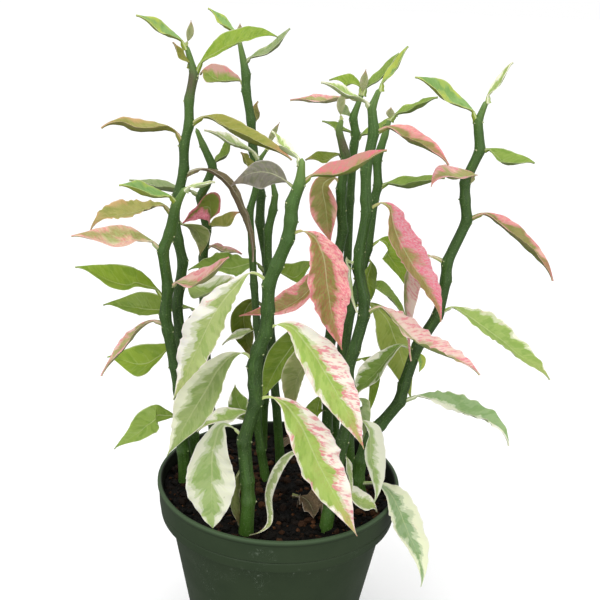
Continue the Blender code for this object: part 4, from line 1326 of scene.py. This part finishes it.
@node_group("Soil crumbs", "Geometry", {"Crumbs": "Geometry"},
            Soil="Geometry", Density=300000.0, Reach=0.048, Size=0.0015, Flatness=0.6, Tint=0.3,
            Seed=1, Material="Material")
def scatter_tree(tree, soil, density, reach, size, flatness, tint, seed, material):
    """Crumbs and bark chips lying on the top of the soil."""

    def draw(low, high, offset, data_type="FLOAT"):
        return add(tree, "FunctionNodeRandomValue",
                   named={"Min": low, "Max": high, "Seed": seed + float(offset)}, data_type=data_type)

    def above(value, limit):
        return add(tree, "FunctionNodeCompare", value, limit, data_type="FLOAT",
                   operation="GREATER_THAN")

    x, y, height = add(tree, "GeometryNodeInputPosition").parts()
    inside = above(reach, (x * x + y * y).math("SQRT"))
    top = above(height, (SOIL_TOP - 3.0) * MM)
    chosen = add(tree, "FunctionNodeBooleanMath", top, inside, operation="AND")
    points = add(tree, "GeometryNodeDistributePointsOnFaces",
                 named={"Mesh": soil, "Selection": chosen, "Density": density, "Seed": seed})
    lump = add(tree, "GeometryNodeMeshIcoSphere", named={"Radius": 1.0, "Subdivisions": 2})
    turn = draw((-0.5, -0.5, 0.0), (0.5, 0.5, math.tau), 1, "FLOAT_VECTOR")
    large = draw(0.0, 1.0, 2).power(2.2) * size + SMALLEST_CRUMB
    scale = xyz(tree, large * draw(0.8, 1.7, 3), large * draw(0.6, 1.0, 5), large * flatness)
    instances = add(tree, "GeometryNodeInstanceOnPoints",
                    named={"Points": points, "Instance": lump, "Rotation": turn, "Scale": scale})
    share = (draw(0.0, 1.0, 4).power(5.0) * tint).math("MINIMUM", 1.0)
    instances = add(tree, "GeometryNodeStoreNamedAttribute",
                    named={"Geometry": instances, "Name": "tint", "Value": share},
                    data_type="FLOAT", domain="INSTANCE")
    solid = add(tree, "GeometryNodeRealizeInstances", instances)
    place = add(tree, "GeometryNodeInputPosition")
    rough = add(tree, "ShaderNodeTexNoise", named={"Vector": place, "Scale": 1100.0, "Detail": 2.0}, out=1)
    shove = rough.plus((-0.5, -0.5, -0.5)).scaled(CRUMB_ROUGHNESS)
    solid = add(tree, "GeometryNodeSetPosition", named={"Geometry": solid, "Offset": shove})
    return [add(tree, "GeometryNodeSetMaterial", named={"Geometry": solid, "Material": material})]


def build_crumbs(name, soil, **values):
    """Loose pieces strewn on the soil."""
    obj = new_object(name, soil.data.copy())
    obj.data.materials.clear()
    grown(obj, scatter_tree(), **values)
    finish_piece(obj, "soil")


def build_fallen(name, seed, materials):
    """One dead leaf that lies on the soil."""
    row = FALLEN[name]
    rib = [on_soil(pixel) + Vector((0, 0, FALL_HEIGHT)) for pixel in row.track]
    guide = Guide()
    guide.line(leaf_line(rib, Vector((0, 0, 1)), row, seed))
    obj = guide.to_object(name + "_curled")
    grown(obj, leafy_stalk_tree(), Blade=0.0005, Rib=0.0004, Ripple=0.0014, **materials)
    lowest = min(vertex.co.z for vertex in obj.data.vertices)
    obj.data.transform(Matrix.Translation((0, 0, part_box(name)[0].z - lowest)))
    finish_piece(obj, name)


def plain_material(name, colour, roughness):
    """Plain pale finish of the studio, with a faint unevenness."""
    paint, tree, shader = new_material(name, roughness)
    clouds = mottle(tree, object_place(tree), 3.0, 0.3, 0.7)
    shaded = tuple(part * 0.99 for part in colour)
    feed(tree, shader.inputs["Base Color"], mix(tree, clouds, colour, shaded))
    return paint


def area_light(name, place, target, width, watts):
    """Round soft lamp that looks at a target."""
    lamp = bpy.data.lights.new(name, "AREA")
    lamp.shape = "DISK"
    lamp.size = width
    lamp.energy = watts
    obj = new_object(name, lamp)
    obj.location = place
    obj.rotation_mode = "QUATERNION"
    obj.rotation_quaternion = (Vector(target) - Vector(place)).to_track_quat("-Z", "Y")


def light_room(scene):
    """Soft light that comes most from above and from the front, in a room seen as white."""
    world = scene.world or bpy.data.worlds.new("studio")
    scene.world = world
    world.use_nodes = True
    tree = world.node_tree
    sky = tree.nodes["Background"]
    _, back, up = add(tree, "ShaderNodeTexCoord").parts()
    light = (up * 0.75 - back * 0.5).ramp(-0.75, 0.95, 0.28, 1.42)
    seen = Wire(tree, tree.nodes.new("ShaderNodeLightPath").outputs["Is Camera Ray"])
    feed(tree, sky.inputs["Strength"], seen + seen.less() * light)
    sky.inputs["Color"].default_value = (1.0, 1.0, 1.0, 1.0)


class BACKBONE_OT_camera(bpy.types.Operator):
    """Puts the camera where the photo was taken"""

    bl_idname = "backbone.camera"
    bl_label = "Camera"

    def execute(self, context):
        camera = new_object("camera", bpy.data.cameras.new("camera"))
        camera.data.sensor_width = SENSOR
        camera.data.lens = FOCAL / PHOTO_SIZE * SENSOR
        camera.data.clip_start = 0.01
        tilt = Matrix.Rotation(math.pi / 2 - PITCH, 4, "X") @ Matrix.Rotation(ROLL, 4, "Z")
        camera.matrix_world = Matrix.Translation(EYE * MM) @ tilt
        context.scene.camera = camera
        return {"FINISHED"}


class BACKBONE_OT_stage(bpy.types.Operator):
    """Adds the pale floor and the soft studio light"""

    bl_idname = "backbone.stage"
    bl_label = "Studio"

    def execute(self, context):
        bpy.ops.mesh.primitive_plane_add(size=60.0, location=(0, 0, 0))
        floor = context.object
        floor.name = "floor"
        floor.data.materials.append(plain_material("pale_floor", (0.95, 0.95, 0.95), 0.9))
        floor.visible_diffuse = False
        floor.visible_glossy = False
        light_room(context.scene)
        target = (0.0, 0.0, 0.16)
        area_light("key", (-0.45, -0.6, 1.2), target, 0.5, 4.4)
        area_light("fill", (0.4, -0.9, 0.5), target, 0.8, 1.0)
        context.scene.view_settings.view_transform = "Standard"
        return {"FINISHED"}


class BACKBONE_OT_pot(bpy.types.Operator):
    """Builds the nursery pot with its band, rim and drain holes"""

    bl_idname = "backbone.pot"
    bl_label = "Pot"

    def execute(self, context):
        pot = turned("nursery_pot", pot_outline(sizes()))
        drill_drains(pot)
        pot.data.materials.clear()
        pot.data.materials.append(plastic_material())
        pot.data.shade_smooth()
        pot.data.set_sharp_from_angle(angle=math.radians(50))
        finish_piece(pot, "pot")
        return {"FINISHED"}


class BACKBONE_OT_soil(bpy.types.Operator):
    """Fills the pot with soil and strews crumbs and bark chips on it"""

    bl_idname = "backbone.soil"
    bl_label = "Soil"

    def execute(self, context):
        size = sizes()
        soil = build_soil()
        crumb = soil_material("soil_crumbs", tinted=True)
        build_crumbs("soil_crumbs", soil, Density=float(size.crumbs), Reach=0.0492, Size=size.crumb,
                     Flatness=0.75, Tint=0.5, Seed=3, Material=crumb)
        build_crumbs("bark_chips", soil, Density=float(size.chips), Reach=0.047, Size=size.crumb * 1.5,
                     Flatness=0.35, Tint=3.0, Seed=8, Material=crumb)
        return {"FINISHED"}


class BACKBONE_OT_stalks(bpy.types.Operator):
    """Grows the leafy stalks"""

    bl_idname = "backbone.stalks"
    bl_label = "Leafy stalks"

    def execute(self, context):
        materials = {"Stem material": stem_material(), "Leaf material": leaf_material(),
                     "Scar material": scar_material()}
        for index, name in enumerate(STALKS):
            build_stalk(name, 1.0 + index * 2.1, materials)
        return {"FINISHED"}


class BACKBONE_OT_fallen(bpy.types.Operator):
    """Lays the dried leaves on the soil"""

    bl_idname = "backbone.fallen"
    bl_label = "Dried leaves"

    def execute(self, context):
        paint = leaf_material("dried_leaf", dried=True)
        materials = dict.fromkeys(("Stem material", "Leaf material", "Scar material"), paint)
        for index, name in enumerate(FALLEN):
            build_fallen(name, 40.0 + index, materials)
        return {"FINISHED"}


class BACKBONE_PT_panel(bpy.types.Panel):
    """Sidebar panel with the sizes, the colours and a button for each piece"""

    bl_label = "Devil's Backbone"
    bl_idname = "BACKBONE_PT_panel"
    bl_space_type = "VIEW_3D"
    bl_region_type = "UI"
    bl_category = "Backbone"

    def draw(self, context):
        for group in (context.scene.backbone_sizes, context.scene.backbone_colours):
            column = self.layout.column()
            for name in group.__annotations__:
                column.prop(group, name)
        for operator in OPERATORS:
            self.layout.operator(operator.bl_idname)


OPERATORS = (
    BACKBONE_OT_camera,
    BACKBONE_OT_stage,
    BACKBONE_OT_pot,
    BACKBONE_OT_soil,
    BACKBONE_OT_stalks,
    BACKBONE_OT_fallen,
)
CLASSES = (BackboneSizes, BackboneColours, *OPERATORS, BACKBONE_PT_panel)


def register():
    for kind in CLASSES:
        bpy.utils.register_class(kind)
    bpy.types.Scene.backbone_sizes = bpy.props.PointerProperty(type=BackboneSizes)
    bpy.types.Scene.backbone_colours = bpy.props.PointerProperty(type=BackboneColours)


def unregister():
    del bpy.types.Scene.backbone_colours
    del bpy.types.Scene.backbone_sizes
    for kind in reversed(CLASSES):
        bpy.utils.unregister_class(kind)


def main():
    register()
    for operator in OPERATORS:
        area, action = operator.bl_idname.split(".")
        getattr(getattr(bpy.ops, area), action)()


if __name__ == "__main__":
    main()
